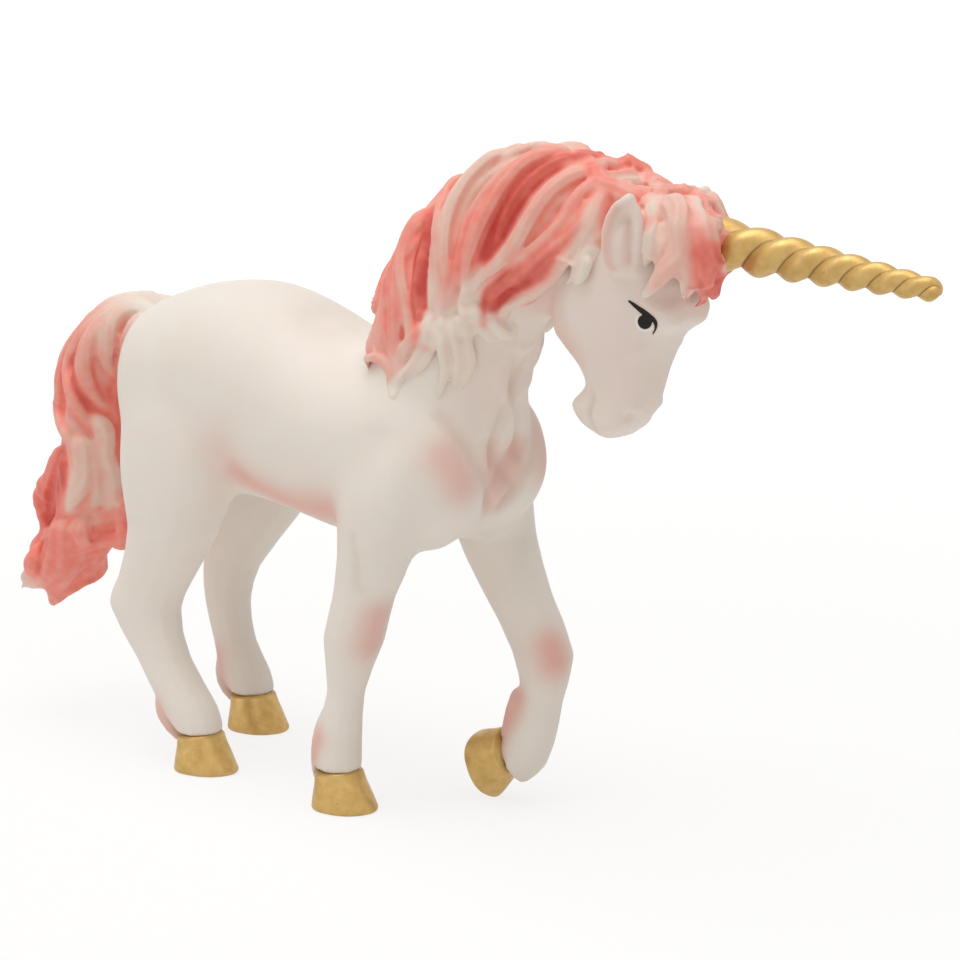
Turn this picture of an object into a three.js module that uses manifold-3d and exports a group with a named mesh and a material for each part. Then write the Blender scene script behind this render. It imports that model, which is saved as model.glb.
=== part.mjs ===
// A standing unicorn figurine in cast vinyl, about 165 mm from tail to horn tip.
// The sculpt is made of lofts, then parted into the mouldings that are glued together on the bench:
// body with neck, head, four legs on pegs, four hooves, horn, mane, forelock and tail.
// Millimetres, +X the way the animal faces, +Y to its left, +Z up, hooves standing on Z = 0.
import * as THREE from "three";
import { mergeVertices } from "three/addons/utils/BufferGeometryUtils.js";
import Module from "manifold-3d";

const wasm = await Module();
wasm.setup();

// Overall length, tail tip to horn tip, against the length that the other sizes here are drawn for.
const FIGURE_LENGTH = 164.6;
const DRAWN_LENGTH = 164.6;
const SIZE = FIGURE_LENGTH / DRAWN_LENGTH;

// Fits between the mouldings, the same at every size of figure.
const GLUE_GAP = 0.3 / SIZE;
const PEG_CLEARANCE = 0.15 / SIZE;

// How far a peg and a hoof stub start inside the moulding that carries them.
const PEG_ROOT = 2;
const STUB_ROOT = 1;

// The level plane, just under the belly, where the legs part from the body.
const LEG_JOINT_Z = 36;
const LEG_PEG_RADIUS = 2.3;
const LEG_PEG_LENGTH = 6;

// Hooves: a flared cup with a ledge at the coronet, which takes a stub on the leg's end.
const HOOF_HEIGHT = 5.3;
const HOOF_SOLE_TOE = 6.1;
const HOOF_SOLE_HEEL = 3.5;
const HOOF_SOLE_HALF_WIDTH = 4.3;
const HOOF_LEDGE_RADIUS = 3.45;
const HOOF_LEDGE_HEIGHT = 0.75;
const HOOF_LEDGE_LIP = 0.35;
const HOOF_LEDGE_STEP = 0.15;
const HOOF_SOLE_EDGE = 0.5;
const HOOF_SOLE_INSET = 0.15;
const HOOF_WAIST = 0.55;
const HOOF_SIDES = 14;
const CORONET_RADIUS = 3.1;
const HOOF_STUB_RADIUS = 1.9;
const HOOF_STUB_LENGTH = 2.2;

// Horn: a tapered rope of strands wound about the axis, more tightly towards the tip.
const HORN_LENGTH = 35.5;
const HORN_BASE_RADIUS = 3.7;
const HORN_TIP_RADIUS = 1.45;
const HORN_STRANDS = 2;
const HORN_TURNS = 4;
const HORN_FLUTE_DEPTH = 0.7;
const HORN_PEG_RADIUS = 1.7;
const HORN_PEG_LENGTH = 5;
const HORN_DROOP_DEG = 5.2;
const HORN_TIGHTENING = 0.5;
const HORN_NOSE_SHARE = 0.96;
const HORN_NOSE_LENGTH = 0.05;
const HORN_RINGS_PER_TURN = 12;
const HORN_SIDES_PER_STRAND = 5;

// Tail peg in the rump and head peg in the neck.
const TAIL_PEG_RADIUS = 1.9;
const TAIL_PEG_LENGTH = 5;
const TAIL_PEG_ROOT = 4;
const HEAD_PEG_RADIUS = 3.2;
const HEAD_PEG_LENGTH = 6;

// Hair locks: a lock stands off the skin by its height and is sunk into it at its back.
const LOCK_SIDES = 6;
const LOCK_STEPS = 5;
const LOCK_ROUNDNESS = 1.8;
const MANE_LOCK_HALF_WIDTH = 3.1;
const MANE_LOCK_HEIGHT = 2.9;
const MANE_LOCK_SINK = 0.9;
const CREST_HALF_WIDTH = 4.2;
const CREST_HEIGHT = 3.6;
const CREST_SINK = 1.2;
const HEAD_LOCK_SINK = 1.6;
const TAIL_LOCK_SINK = 3.2;

// The mane fans from the ear to the withers. Each pair is for its first and its last lock: the root's
// share of the way up the neck, the share that the lock runs back, and its fall round the neck.
const MANE_LOCKS_RIGHT = 8;
const MANE_LOCKS_LEFT = 6;
const MANE_LEFT_FALL = 0.85;
const MANE_ROOT = [1, 0.56];
const MANE_ROOT_DEG = [6, 0];
const MANE_RUN = [0.42, 0.34];
const MANE_FALL_DEG = [126, 58];
const MANE_LIFTS = [1.6, 2.3];
const CREST_SHARES = [1, 0.85, 0.7, 0.55, 0.4, 0.3];
const MANE_FRONT_X = 26;

// Shorter locks under the edge of the outer ones, with their tips along the neck.
const UNDER_LOCKS_RIGHT = 5;
const UNDER_LOCKS_LEFT = 3;
const UNDER_TIP = [0.86, 0.22];
const UNDER_RUN = 0.34;
const UNDER_FALL_DEG = [124, 92];
const UNDER_BULGE_DEG = 36;
const UNDER_ROOT_SHARE = 0.15;
const UNDER_LIFT = 0.4;
const UNDER_HALF_WIDTH = 2.8;

// Feather hair on the back of a fetlock: it leaves the leg above, runs down its back and ends over the heel.
const TUFT_ROOT_RISE = 3.8;
const TUFT_ROOT_DEPTH = 1.6;
const TUFT_MIDDLE_DEPTH = 0.3;
const TUFT_MIDDLE_FALL = 1.2;
const TUFT_END_REACH = 1.2;
const TUFT_END_FALL = 2.2;
const TUFT_HALF_WIDTH = 2.6;
const TUFT_HEIGHT = 1.3;
const TUFT_SINK = 2.6;

// Each row of a body table: place along the body (x), half width, top and bottom heights.
const TORSO = [
  [-63.2, 3.0, 60.0, 52.0],
  [-61.6, 8.0, 64.0, 46.0],
  [-57.5, 12.2, 66.4, 41.5],
  [-50.0, 14.4, 69.0, 39.6],
  [-40.0, 14.6, 70.3, 39.6],
  [-30.0, 14.6, 67.8, 38.6],
  [-20.0, 15.2, 63.6, 37.2],
  [-10.0, 14.8, 63.8, 36.6],
  [-3.0, 13.0, 63.0, 38.2],
  [1.4, 10.0, 59.0, 41.2],
  [3.6, 5.6, 54.0, 45.6],
];

// Each row of a spine table: x, y, z, half width, reach ahead, reach behind.
const NECK = [
  [-9.0, 0, 50.0, 12.0, 12.0, 13.0],
  [-6.5, 0, 58.0, 11.0, 12.2, 12.0],
  [-2.5, 0, 66.5, 9.0, 10.2, 11.6],
  [4.0, 0, 75.5, 7.6, 9.0, 11.2],
  [13.0, 0, 80.5, 7.0, 9.0, 10.0],
  [22.0, 0, 81.0, 6.6, 8.0, 8.6],
];

const HEAD = [
  [24.0, 0, 88.2, 3.2, 3.4, 3.4],
  [24.4, 0, 86.6, 5.4, 7.8, 6.6],
  [25.0, 0, 82.0, 6.7, 11.2, 8.2],
  [25.0, 0, 77.0, 7.3, 11.2, 9.6],
  [25.0, 0, 72.8, 7.3, 8.8, 11.6],
  [25.0, 0, 69.0, 6.7, 7.2, 11.0],
  [25.0, 0, 65.5, 5.2, 5.8, 7.5],
  [25.0, 0, 62.4, 4.2, 5.0, 6.0],
  [25.0, 0, 59.6, 4.2, 3.8, 8.5],
  [24.6, 0, 57.4, 4.0, 2.2, 6.8],
  [23.8, 0, 55.8, 2.6, 0.6, 2.2],
];

// Chest muscles either side of the breast groove; the left one mirrors the right.
const PECTORAL = [
  [-6.0, -5.0, 37.4, 3.0, 3.0, 3.0],
  [-2.5, -5.6, 41.5, 5.4, 5.2, 6.0],
  [-0.8, -6.0, 47.5, 6.4, 6.2, 8.0],
  [-1.8, -6.2, 54.0, 6.0, 5.6, 8.0],
  [-4.0, -5.5, 60.0, 3.6, 3.4, 5.0],
];

// Each leg row: x, y, z, half width, reach ahead, reach behind; the rows run from the body to the coronet.
const RIGHT_FORELEG = [
  [-6.0, -6.0, 58.0, 4.0, 5.0, 5.0],
  [-6.5, -9.2, 51.0, 5.6, 7.4, 8.0],
  [-7.4, -10.6, 45.0, 5.7, 7.2, 7.6],
  [-9.4, -11.0, 38.0, 4.9, 6.4, 5.3],
  [-11.5, -11.0, 31.0, 3.9, 4.7, 4.3],
  [-13.0, -11.0, 24.5, 3.8, 4.0, 4.7],
  [-14.8, -11.0, 17.0, 2.4, 2.6, 2.5],
  [-16.0, -10.9, 10.0, 2.9, 2.9, 3.3],
  [-16.5, -10.7, HOOF_HEIGHT + GLUE_GAP, 3.1, 3.1, 3.2],
];

const LEFT_FORELEG = [
  [-6.0, 6.0, 58.0, 4.0, 5.0, 5.0],
  [-7.0, 9.0, 51.0, 5.8, 7.6, 8.4],
  [-7.4, 10.4, 45.0, 5.7, 7.0, 7.6],
  [-5.6, 10.6, 37.5, 5.1, 5.4, 7.4],
  [-0.8, 9.8, 29.0, 4.2, 4.4, 6.0],
  [4.0, 9.0, 21.5, 3.7, 4.2, 4.7],
  [4.4, 8.0, 14.8, 2.8, 2.8, 2.9],
  [3.1, 7.2, 9.4, 3.0, 3.5, 3.4],
  [1.9, 6.6, 5.8, 2.9, 3.6, 3.2],
  [1.0, 6.3, 3.3, 1.3, 1.8, 1.4],
];

const RIGHT_HINDLEG = [
  [-46.0, -6.0, 62.0, 4.0, 6.0, 6.0],
  [-46.5, -8.8, 52.0, 6.6, 10.4, 11.6],
  [-47.0, -10.0, 43.0, 6.4, 9.6, 11.0],
  [-48.6, -10.0, 34.5, 5.6, 7.0, 7.6],
  [-53.0, -10.0, 26.6, 4.4, 6.3, 5.7],
  [-54.6, -10.0, 22.4, 4.1, 5.6, 6.3],
  [-51.2, -10.0, 15.2, 3.3, 4.3, 4.3],
  [-46.4, -10.0, 9.0, 3.5, 4.5, 4.5],
  [-44.0, -10.0, HOOF_HEIGHT + GLUE_GAP, 3.2, 3.2, 3.3],
];

const LEFT_HINDLEG = [
  [-49.0, 6.0, 62.0, 4.0, 6.0, 6.0],
  [-50.0, 8.8, 52.0, 6.6, 10.0, 9.4],
  [-51.0, 10.0, 42.0, 6.4, 12.2, 9.2],
  [-53.0, 10.2, 33.0, 5.4, 8.2, 6.6],
  [-56.8, 10.2, 24.5, 3.8, 4.2, 4.8],
  [-57.8, 10.2, 19.0, 3.0, 3.4, 3.8],
  [-56.6, 10.2, 13.0, 2.9, 3.2, 3.2],
  [-54.6, 10.2, 8.6, 3.4, 3.9, 4.0],
  [-53.0, 10.2, HOOF_HEIGHT + GLUE_GAP, 3.2, 3.2, 3.3],
];

// Each ear is a leaf on the poll, in rows like a leg's; the left one mirrors the right.
const EAR = [
  [29.4, -5.6, 78.4, 1.6, 2.6, 2.6],
  [29.6, -6.7, 82.0, 1.6, 3.5, 3.4],
  [29.9, -7.2, 85.4, 1.1, 2.5, 2.4],
  [30.1, -7.3, 88.2, 0.3, 0.5, 0.5],
];

// Forelock: locks from the poll over the brow, parted round the horn.
const FORELOCK = [
  // root, over the brow, beside the horn, tip, half width, height
  [[26, 0, 88.6], [32, 0, 87.6], [37.5, 0, 86.4], [42.0, 0, 85.4], 3.4, 1.4],
  [[26, -1.5, 88.2], [34.6, -3.6, 86.8], [41.2, -4.8, 83.2], [40.2, -4.6, 76.2], 3.3, 1.8],
  [[26, 1.5, 88.2], [33.4, 3.4, 86.4], [39.0, 4.4, 82.6], [38.6, 4.2, 76.4], 2.6, 1.6],
  [[26, -3, 87.4], [32, -5.0, 85.8], [37.8, -6.0, 81.5], [37.8, -5.8, 75.2], 3.0, 1.8],
  [[26, 3, 87.4], [31.5, 5.0, 85.8], [37, 5.8, 81.5], [37.2, 5.8, 76.2], 2.6, 1.8],
  [[28, -4, 86.4], [32.6, -6.0, 84.4], [34.6, -6.9, 81], [34.6, -7.2, 76.6], 2.0, 1.4],
  [[28, 4, 86.4], [32.6, 6.0, 84.4], [34.6, 6.9, 81], [34.6, 7.2, 77.6], 2.0, 1.4],
  [[34, 0, 80.4], [37.8, 0, 79.0], [38.2, 0, 76.4], [35.8, 0, 73.8], 4.6, 1.8],
];

// Locks that fall from the poll behind the ears and close the front of the mane.
const POLL_LOCKS = [
  [[25.6, 0.5, 88.6], [25, -4.4, 88.0], [24.4, -7.4, 83.0], [22.4, -8.0, 76.5], 2.8, 1.6],
  [[23, 0.5, 89.6], [22.4, -4.4, 88.8], [20.6, -7.8, 83.0], [17, -8.2, 75.5], 2.8, 1.8],
  [[25.6, -0.5, 88.6], [25, 4.4, 88.0], [24.4, 7.4, 83.0], [22.6, 8.0, 78.0], 2.8, 1.6],
  [[23, -0.5, 89.6], [22.4, 4.4, 88.8], [20.6, 7.8, 83.0], [17.6, 8.2, 77.0], 2.8, 1.8],
];

// The middle of the skull, which the locks on the head stand off from.
const SKULL = new THREE.Vector3(27, 0, 79);

// Tail: locks that leave the dock together, arch back and fall, with the tips flicked out behind.
const TAIL = [
  // four points of the route in x, y, z, then half width and height
  [[-59, 0, 64.0], [-72.0, 0, 63.0], [-80, 0, 50.0], [-80.6, 0, 34.0], 4.2, 3.0],
  [[-60, -2, 63.5], [-69, -3.6, 60.0], [-75, -5.0, 47.0], [-72.5, -4.8, 28.0], 4.2, 2.6],
  [[-60, 2, 63.5], [-69, 3.6, 60.0], [-75, 5.0, 47.0], [-72.5, 4.8, 28.0], 4.2, 2.6],
  [[-61, 0, 62], [-69.0, 0, 54.0], [-71.0, 0, 42.0], [-68.0, 0, 27.5], 4.2, 3.4],
  [[-73, -1, 54], [-77.5, -2.2, 40.0], [-79.5, -3.0, 27.0], [-92.0, -2.4, 16.6], 4.4, 3.2],
  [[-72, 1, 52], [-76.0, 1.8, 38.0], [-76.5, 2.2, 26.0], [-85.5, 2.0, 14.8], 4.4, 3.2],
  [[-72, 0, 44], [-76.0, 0, 34.0], [-79.0, 0, 26.0], [-86.5, 0, 18.0], 4.6, 3.0],
  [[-75, 0, 48], [-82.0, 0.6, 38.0], [-86.5, 1.2, 31.5], [-88.5, 1.4, 25.0], 3.2, 2.8],
];

// The middle of the tail's fall, ahead of all its locks, and the least that a lock faces backwards.
const TAIL_MIDDLE = new THREE.Vector3(-66, 0, 40);
const TAIL_BACKWARD = 2;

// The raised foreleg's hoof hangs from the fetlock and rests on its toe.
const RAISED_HOOF_PITCH_DEG = 64;
const RAISED_HOOF_X = 0.3;
const RAISED_HOOF_Y = 6.4;
const RAISED_TOE_FLAT = 0.6;
const RAISED_TUFT_RISE = 3;

// The plane behind the jaw where the head parts from the neck.
const THROAT = new THREE.Vector3(14.6, 0, 78);
const THROAT_LEAN_DEG = 18;

const HORN_ROOT = new THREE.Vector3(36.6, 0, 82.6);
const TAIL_ROOT = new THREE.Vector3(-60.2, 0, 63.6);

// Edge of the boxes that stand for everything on one side of a plane.
const HALF_SPACE = 400;

const LATERAL = new THREE.Vector3(0, 1, 0);
const FORWARD = new THREE.Vector3(1, 0, 0);
const UP = new THREE.Vector3(0, 0, 1);

// Closed solids from geometry, and back

function solidFrom(geometry) {
  const bare = geometry.index ? geometry.toNonIndexed() : geometry.clone();
  bare.deleteAttribute("normal");
  bare.deleteAttribute("uv");
  const merged = mergeVertices(bare, 1e-4);
  const solid = new wasm.Manifold(
    new wasm.Mesh({
      numProp: 3,
      vertProperties: new Float32Array(merged.attributes.position.array),
      triVerts: new Uint32Array(merged.index.array),
    }),
  );
  return solid;
}

function geometryFrom(solid) {
  const mesh = solid.getMesh();
  const places = new Float32Array(mesh.numVert * 3);
  for (let i = 0; i < mesh.numVert; i++) {
    places.set(mesh.vertProperties.subarray(i * mesh.numProp, i * mesh.numProp + 3), i * 3);
  }
  const geometry = new THREE.BufferGeometry();
  geometry.setAttribute("position", new THREE.BufferAttribute(places, 3));
  geometry.setIndex(new THREE.BufferAttribute(new Uint32Array(mesh.triVerts), 1));
  geometry.computeVertexNormals();
  return geometry;
}

function union(solids) {
  return solids.reduce((joined, next) => joined.add(next));
}

// The largest body of a solid, without the crumbs that a cut leaves.
function mainBody(solid) {
  return solid.decompose().reduce((best, next) => (next.volume() > best.volume() ? next : best));
}

// A closed tube through rings of equal count, with a point at the middle of each end.
function skinOver(rings) {
  const sides = rings[0].length;
  const places = [];
  const faces = [];
  const middle = (ring) =>
    ring.reduce((sum, p) => sum.add(p), new THREE.Vector3()).divideScalar(sides);
  rings.forEach((ring) => ring.forEach((p) => places.push(p.x, p.y, p.z)));
  const first = middle(rings[0]);
  const last = middle(rings.at(-1));
  const firstIndex = rings.length * sides;
  places.push(first.x, first.y, first.z, last.x, last.y, last.z);
  for (let j = 0; j < sides; j++) {
    const next = (j + 1) % sides;
    faces.push(firstIndex, next, j);
    faces.push(firstIndex + 1, (rings.length - 1) * sides + j, (rings.length - 1) * sides + next);
    for (let i = 0; i + 1 < rings.length; i++) {
      const here = i * sides;
      const there = here + sides;
      faces.push(here + j, here + next, there + next);
      faces.push(here + j, there + next, there + j);
    }
  }
  const geometry = new THREE.BufferGeometry();
  geometry.setAttribute("position", new THREE.Float32BufferAttribute(places, 3));
  geometry.setIndex(faces);
  const solid = solidFrom(geometry);
  if (solid.volume() >= 0) return solid;
  geometry.setIndex(faces.map((_, i) => faces[i - (i % 3) + 2 - (i % 3)]));
  return solidFrom(geometry);
}

// A rounded-box section: squareness 2 is an ellipse, and more is squarer.
function sectionRing(frame, sides, squareness) {
  const bend = (v) => Math.sign(v) * Math.abs(v) ** (2 / squareness);
  return Array.from({ length: sides }, (_, j) => {
    const angle = (2 * Math.PI * j) / sides;
    const reach = Math.cos(angle) >= 0 ? frame.ahead : frame.behind;
    return frame.centre
      .clone()
      .addScaledVector(frame.side, frame.wide * bend(Math.sin(angle)))
      .addScaledVector(frame.front, reach * bend(Math.cos(angle)));
  });
}

// Smooth values between the rows of a table, at a share of the way along it.
function sampler(rows) {
  const centres = new THREE.CatmullRomCurve3(rows.map((r) => new THREE.Vector3(r[0], r[1], r[2])));
  const reaches = new THREE.CatmullRomCurve3(rows.map((r) => new THREE.Vector3(r[3], r[4], r[5])));
  return (share) => {
    const reach = reaches.getPoint(share);
    return {
      centre: centres.getPoint(share),
      tangent: centres.getTangent(share),
      wide: reach.x,
      ahead: reach.y,
      behind: reach.z,
    };
  };
}

// Sections of a table, with the front of each section along a fixed direction or square to the spine.
function frameAt(sample, share, front) {
  const frame = sample(share);
  frame.side = LATERAL.clone();
  frame.front = front ? front.clone() : LATERAL.clone().cross(frame.tangent).normalize();
  return frame;
}

function loft(rows, { sides = 16, perSpan = 2, squareness = 2.1, front = null, grow = 0 } = {}) {
  const sample = sampler(rows);
  const steps = (rows.length - 1) * perSpan;
  const rings = Array.from({ length: steps + 1 }, (_, i) => {
    const frame = frameAt(sample, i / steps, front);
    frame.wide += grow;
    frame.ahead += grow;
    frame.behind += grow;
    return sectionRing(frame, sides, squareness);
  });
  return skinOver(rings);
}

// A round peg from a seat along a direction.
function peg(seat, along, radius, length, sides = 14) {
  const geometry = new THREE.CylinderGeometry(radius, radius, length, sides);
  geometry.translate(0, length / 2, 0);
  const turn = new THREE.Quaternion().setFromUnitVectors(LATERAL, along.clone().normalize());
  geometry.applyQuaternion(turn);
  geometry.translate(seat.x, seat.y, seat.z);
  return solidFrom(geometry);
}

// Everything on the side of a plane that its normal points to.
function halfSpace(point, normal) {
  const geometry = new THREE.BoxGeometry(HALF_SPACE, HALF_SPACE, HALF_SPACE);
  geometry.translate(0, HALF_SPACE / 2, 0);
  geometry.applyQuaternion(new THREE.Quaternion().setFromUnitVectors(LATERAL, normal));
  geometry.translate(point.x, point.y, point.z);
  return solidFrom(geometry);
}

// Body, neck, head and leg forms before they are parted

const torsoRows = TORSO.map(([x, wide, top, bottom]) => {
  const half = (top - bottom) / 2;
  return [x, 0, bottom + half, wide, half, half];
});
const torsoForm = (grow) => loft(torsoRows, { sides: 20, front: UP, grow, squareness: 2.2 });
const neckForm = (grow) => loft(NECK, { sides: 16, grow });
const headForm = (grow) => loft(HEAD, { sides: 16, front: FORWARD, grow });
const between = ([first, last], share) => THREE.MathUtils.lerp(first, last, share);
const mirrored = (rows) => rows.map(([x, y, ...rest]) => [x, -y, ...rest]);
const legForm = (rows, grow = 0) => loft(rows, { sides: 12, front: FORWARD, grow });

const throatNormal = new THREE.Vector3(1, 0, 0).applyAxisAngle(
  LATERAL,
  THREE.MathUtils.degToRad(THROAT_LEAN_DEG),
);
const aheadOfThroat = halfSpace(
  THROAT.clone().addScaledVector(throatNormal, GLUE_GAP / 2),
  throatNormal,
);
const behindThroat = halfSpace(
  THROAT.clone().addScaledVector(throatNormal, -GLUE_GAP / 2),
  throatNormal.clone().negate(),
);
const aboveLegJoint = halfSpace(new THREE.Vector3(0, 0, LEG_JOINT_Z + GLUE_GAP / 2), UP);
const belowLegJoint = halfSpace(
  new THREE.Vector3(0, 0, LEG_JOINT_Z - GLUE_GAP / 2),
  UP.clone().negate(),
);
const aboveGround = halfSpace(new THREE.Vector3(), UP);

// The middle of a leg where it crosses the leg joint.
function legJoint(rows) {
  const sample = sampler(rows);
  let low = 0;
  let high = 1;
  for (let i = 0; i < 30; i++) {
    const share = (low + high) / 2;
    if (sample(share).centre.z > LEG_JOINT_Z) low = share;
    else high = share;
  }
  const frame = sample(low);
  const middle = frame.centre.clone();
  middle.x += (frame.ahead - frame.behind) / 2;
  return middle.setZ(LEG_JOINT_Z);
}

// Hooves

// The hoof in its own frame: the sole on Z = 0, the toe towards +X.
function hoofSolid() {
  const wall = HOOF_HEIGHT - HOOF_LEDGE_HEIGHT;
  const girth = (share, inset) =>
    [HOOF_SOLE_HALF_WIDTH, HOOF_SOLE_TOE, HOOF_SOLE_HEEL].map(
      (sole) => between([sole, HOOF_LEDGE_RADIUS], share) - inset,
    );
  const rows = [
    [0, ...girth(0, HOOF_SOLE_INSET)],
    [HOOF_SOLE_EDGE, ...girth(0, 0)],
    [wall * HOOF_WAIST, ...girth(0.5, 0)],
    [wall - HOOF_LEDGE_LIP, ...girth(1, 0)],
    [wall, ...girth(1, HOOF_LEDGE_STEP)],
    [HOOF_HEIGHT, CORONET_RADIUS, CORONET_RADIUS, CORONET_RADIUS],
  ];
  const rings = rows.map(([z, wide, ahead, behind]) => {
    const centre = new THREE.Vector3(0, 0, z);
    const frame = { centre, side: LATERAL, front: FORWARD, wide, ahead, behind };
    return sectionRing(frame, HOOF_SIDES, 2);
  });
  const socket = peg(
    new THREE.Vector3(0, 0, HOOF_HEIGHT - HOOF_STUB_LENGTH - GLUE_GAP),
    UP,
    HOOF_STUB_RADIUS + PEG_CLEARANCE,
    HOOF_STUB_LENGTH + GLUE_GAP + STUB_ROOT,
  );
  return skinOver(rings).subtract(socket);
}

function placed(solid, matrix) {
  return solidFrom(geometryFrom(solid).applyMatrix4(matrix));
}

// Horn

function hornSolid() {
  const steps = HORN_TURNS * HORN_RINGS_PER_TURN;
  const sides = HORN_STRANDS * HORN_SIDES_PER_STRAND;
  const rings = Array.from({ length: steps + 1 }, (_, i) => {
    const share = i / steps;
    const nose = Math.sqrt(1 - Math.max(0, (share - HORN_NOSE_SHARE) / HORN_NOSE_LENGTH) ** 2);
    const core = between([HORN_BASE_RADIUS, HORN_TIP_RADIUS], share) * nose;
    const flute = HORN_FLUTE_DEPTH * (core / HORN_BASE_RADIUS);
    const turned = (share * (1 + HORN_TIGHTENING * share)) / (1 + HORN_TIGHTENING);
    const wind = 2 * Math.PI * HORN_TURNS * turned;
    return Array.from({ length: sides }, (_, j) => {
      const round = (2 * Math.PI * j) / sides;
      const radius = core - flute * (0.5 - 0.5 * Math.cos(HORN_STRANDS * round));
      return new THREE.Vector3(
        HORN_LENGTH * share,
        radius * Math.cos(round - wind),
        radius * Math.sin(round - wind),
      );
    });
  });
  return skinOver(rings);
}

// Hair locks

// A tapered lock along a route, thick in the middle and drawn out to a point.
function lockSolid(route, outward, halfWidth, height, sink) {
  const curve = new THREE.CatmullRomCurve3(route);
  const rings = Array.from({ length: LOCK_STEPS + 1 }, (_, i) => {
    const share = i / LOCK_STEPS;
    const taper = Math.max(0.1, Math.sin(Math.PI * (0.12 + 0.83 * share) ** 0.8) ** 0.7);
    const centre = curve.getPoint(share);
    const tangent = curve.getTangent(share);
    const front = outward(centre).projectOnPlane(tangent).normalize();
    const side = tangent.clone().cross(front);
    const wide = halfWidth * taper;
    const ahead = height * taper;
    const behind = sink * taper;
    return sectionRing({ centre, side, front, wide, ahead, behind }, LOCK_SIDES, LOCK_ROUNDNESS);
  });
  return skinOver(rings);
}

const neckSample = sampler(NECK);
// A point on the neck's skin: share along the neck, angle round it from the crest, and lift off it.
function onNeck(share, angleDeg, flank, lift) {
  const frame = frameAt(neckSample, share, null);
  const angle = THREE.MathUtils.degToRad(angleDeg);
  const reach = Math.cos(angle) >= 0 ? frame.behind : frame.ahead;
  return frame.centre
    .clone()
    .addScaledVector(LATERAL, flank * (frame.wide + lift) * Math.sin(angle))
    .addScaledVector(frame.front, -(reach + lift) * Math.cos(angle));
}

function offNeckAxis(point) {
  const axis = new THREE.CatmullRomCurve3(NECK.map((r) => new THREE.Vector3(r[0], r[1], r[2])));
  let best = null;
  let nearest = Infinity;
  for (let i = 0; i <= 40; i++) {
    const p = axis.getPoint(i / 40);
    const d = p.distanceToSquared(point);
    if (d < nearest) {
      nearest = d;
      best = p;
    }
  }
  return point.clone().sub(best).normalize();
}

// A lock on the neck from a root on the crest to a tip, bending over the crest and then falling.
function maneLock(flank, shares, angles, lift, halfWidth) {
  const route = [0, 0.25, 0.5, 0.75, 1].map((s) =>
    onNeck(
      between(shares, s),
      between(angles, THREE.MathUtils.smoothstep(s, 0, 1)),
      flank,
      lift * (1 - 0.5 * s),
    ),
  );
  return lockSolid(route, offNeckAxis, halfWidth, MANE_LOCK_HEIGHT, MANE_LOCK_SINK);
}

// One side of the mane, with every other lock lying over its neighbours.
function maneLocks(flank, count, fall) {
  return Array.from({ length: count }, (_, i) => {
    const order = count > 1 ? i / (count - 1) : 0;
    const root = between(MANE_ROOT, order);
    const tip = root - between(MANE_RUN, order) * fall;
    const angles = [between(MANE_ROOT_DEG, order), between(MANE_FALL_DEG, order) * fall];
    return maneLock(flank, [root, tip], angles, MANE_LIFTS[i % 2], MANE_LOCK_HALF_WIDTH);
  });
}

function underLocks(flank, count, fall) {
  return Array.from({ length: count }, (_, i) => {
    const order = count > 1 ? i / (count - 1) : 0;
    const tip = between(UNDER_TIP, order);
    const root = Math.min(1, tip + UNDER_RUN);
    const bulge = UNDER_BULGE_DEG * Math.sin(Math.PI * order);
    const drop = (between(UNDER_FALL_DEG, order) + bulge) * fall;
    return maneLock(flank, [root, tip], [drop * UNDER_ROOT_SHARE, drop], UNDER_LIFT, UNDER_HALF_WIDTH);
  });
}

function crestLock() {
  const route = CREST_SHARES.map((share) => onNeck(share, 0, 1, 0));
  return lockSolid(route, offNeckAxis, CREST_HALF_WIDTH, CREST_HEIGHT, CREST_SINK);
}

// Locks on the head, each standing off from a point in the middle of the skull.
function headLocks(table) {
  return table.map(([a, b, c, d, halfWidth, height]) =>
    lockSolid(
      [a, b, c, d].map((p) => new THREE.Vector3(...p)),
      (p) => p.clone().sub(SKULL),
      halfWidth,
      height,
      HEAD_LOCK_SINK,
    ),
  );
}

function tailSolid() {
  const locks = TAIL.map(([a, b, c, d, halfWidth, height]) =>
    lockSolid(
      [a, b, c, d].map((p) => new THREE.Vector3(...p)),
      (p) => p.clone().sub(TAIL_MIDDLE).setX(Math.min(p.x - TAIL_MIDDLE.x, -TAIL_BACKWARD)),
      halfWidth,
      height,
      TAIL_LOCK_SINK,
    ),
  );
  return union(locks);
}

const earForms = (grow) =>
  union([EAR, mirrored(EAR)].map((rows) => loft(rows, { sides: 8, front: FORWARD, grow })));

// Parting the sculpt into mouldings

const legTables = {
  right_foreleg: RIGHT_FORELEG,
  left_foreleg: LEFT_FORELEG,
  right_hindleg: RIGHT_HINDLEG,
  left_hindleg: LEFT_HINDLEG,
};

const hornTurn = new THREE.Matrix4()
  .makeRotationY(THREE.MathUtils.degToRad(HORN_DROOP_DEG))
  .setPosition(HORN_ROOT);
const hornAxis = FORWARD.clone().applyAxisAngle(LATERAL, THREE.MathUtils.degToRad(HORN_DROOP_DEG));
const hornInward = hornAxis.clone().negate();
const tailInward = FORWARD.clone();

const legPegSeat = (rows) => legJoint(rows).setZ(LEG_JOINT_Z - PEG_ROOT);
const legPegSocket = (rows) => {
  const length = PEG_ROOT + LEG_PEG_LENGTH + GLUE_GAP;
  return peg(legPegSeat(rows), UP, LEG_PEG_RADIUS + PEG_CLEARANCE, length);
};

const headPegSeat = THROAT.clone().addScaledVector(throatNormal, PEG_ROOT);
const headPegInward = throatNormal.clone().negate();
const headPeg = (grow) =>
  peg(headPegSeat, headPegInward, HEAD_PEG_RADIUS + grow, PEG_ROOT + HEAD_PEG_LENGTH + grow);

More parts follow.
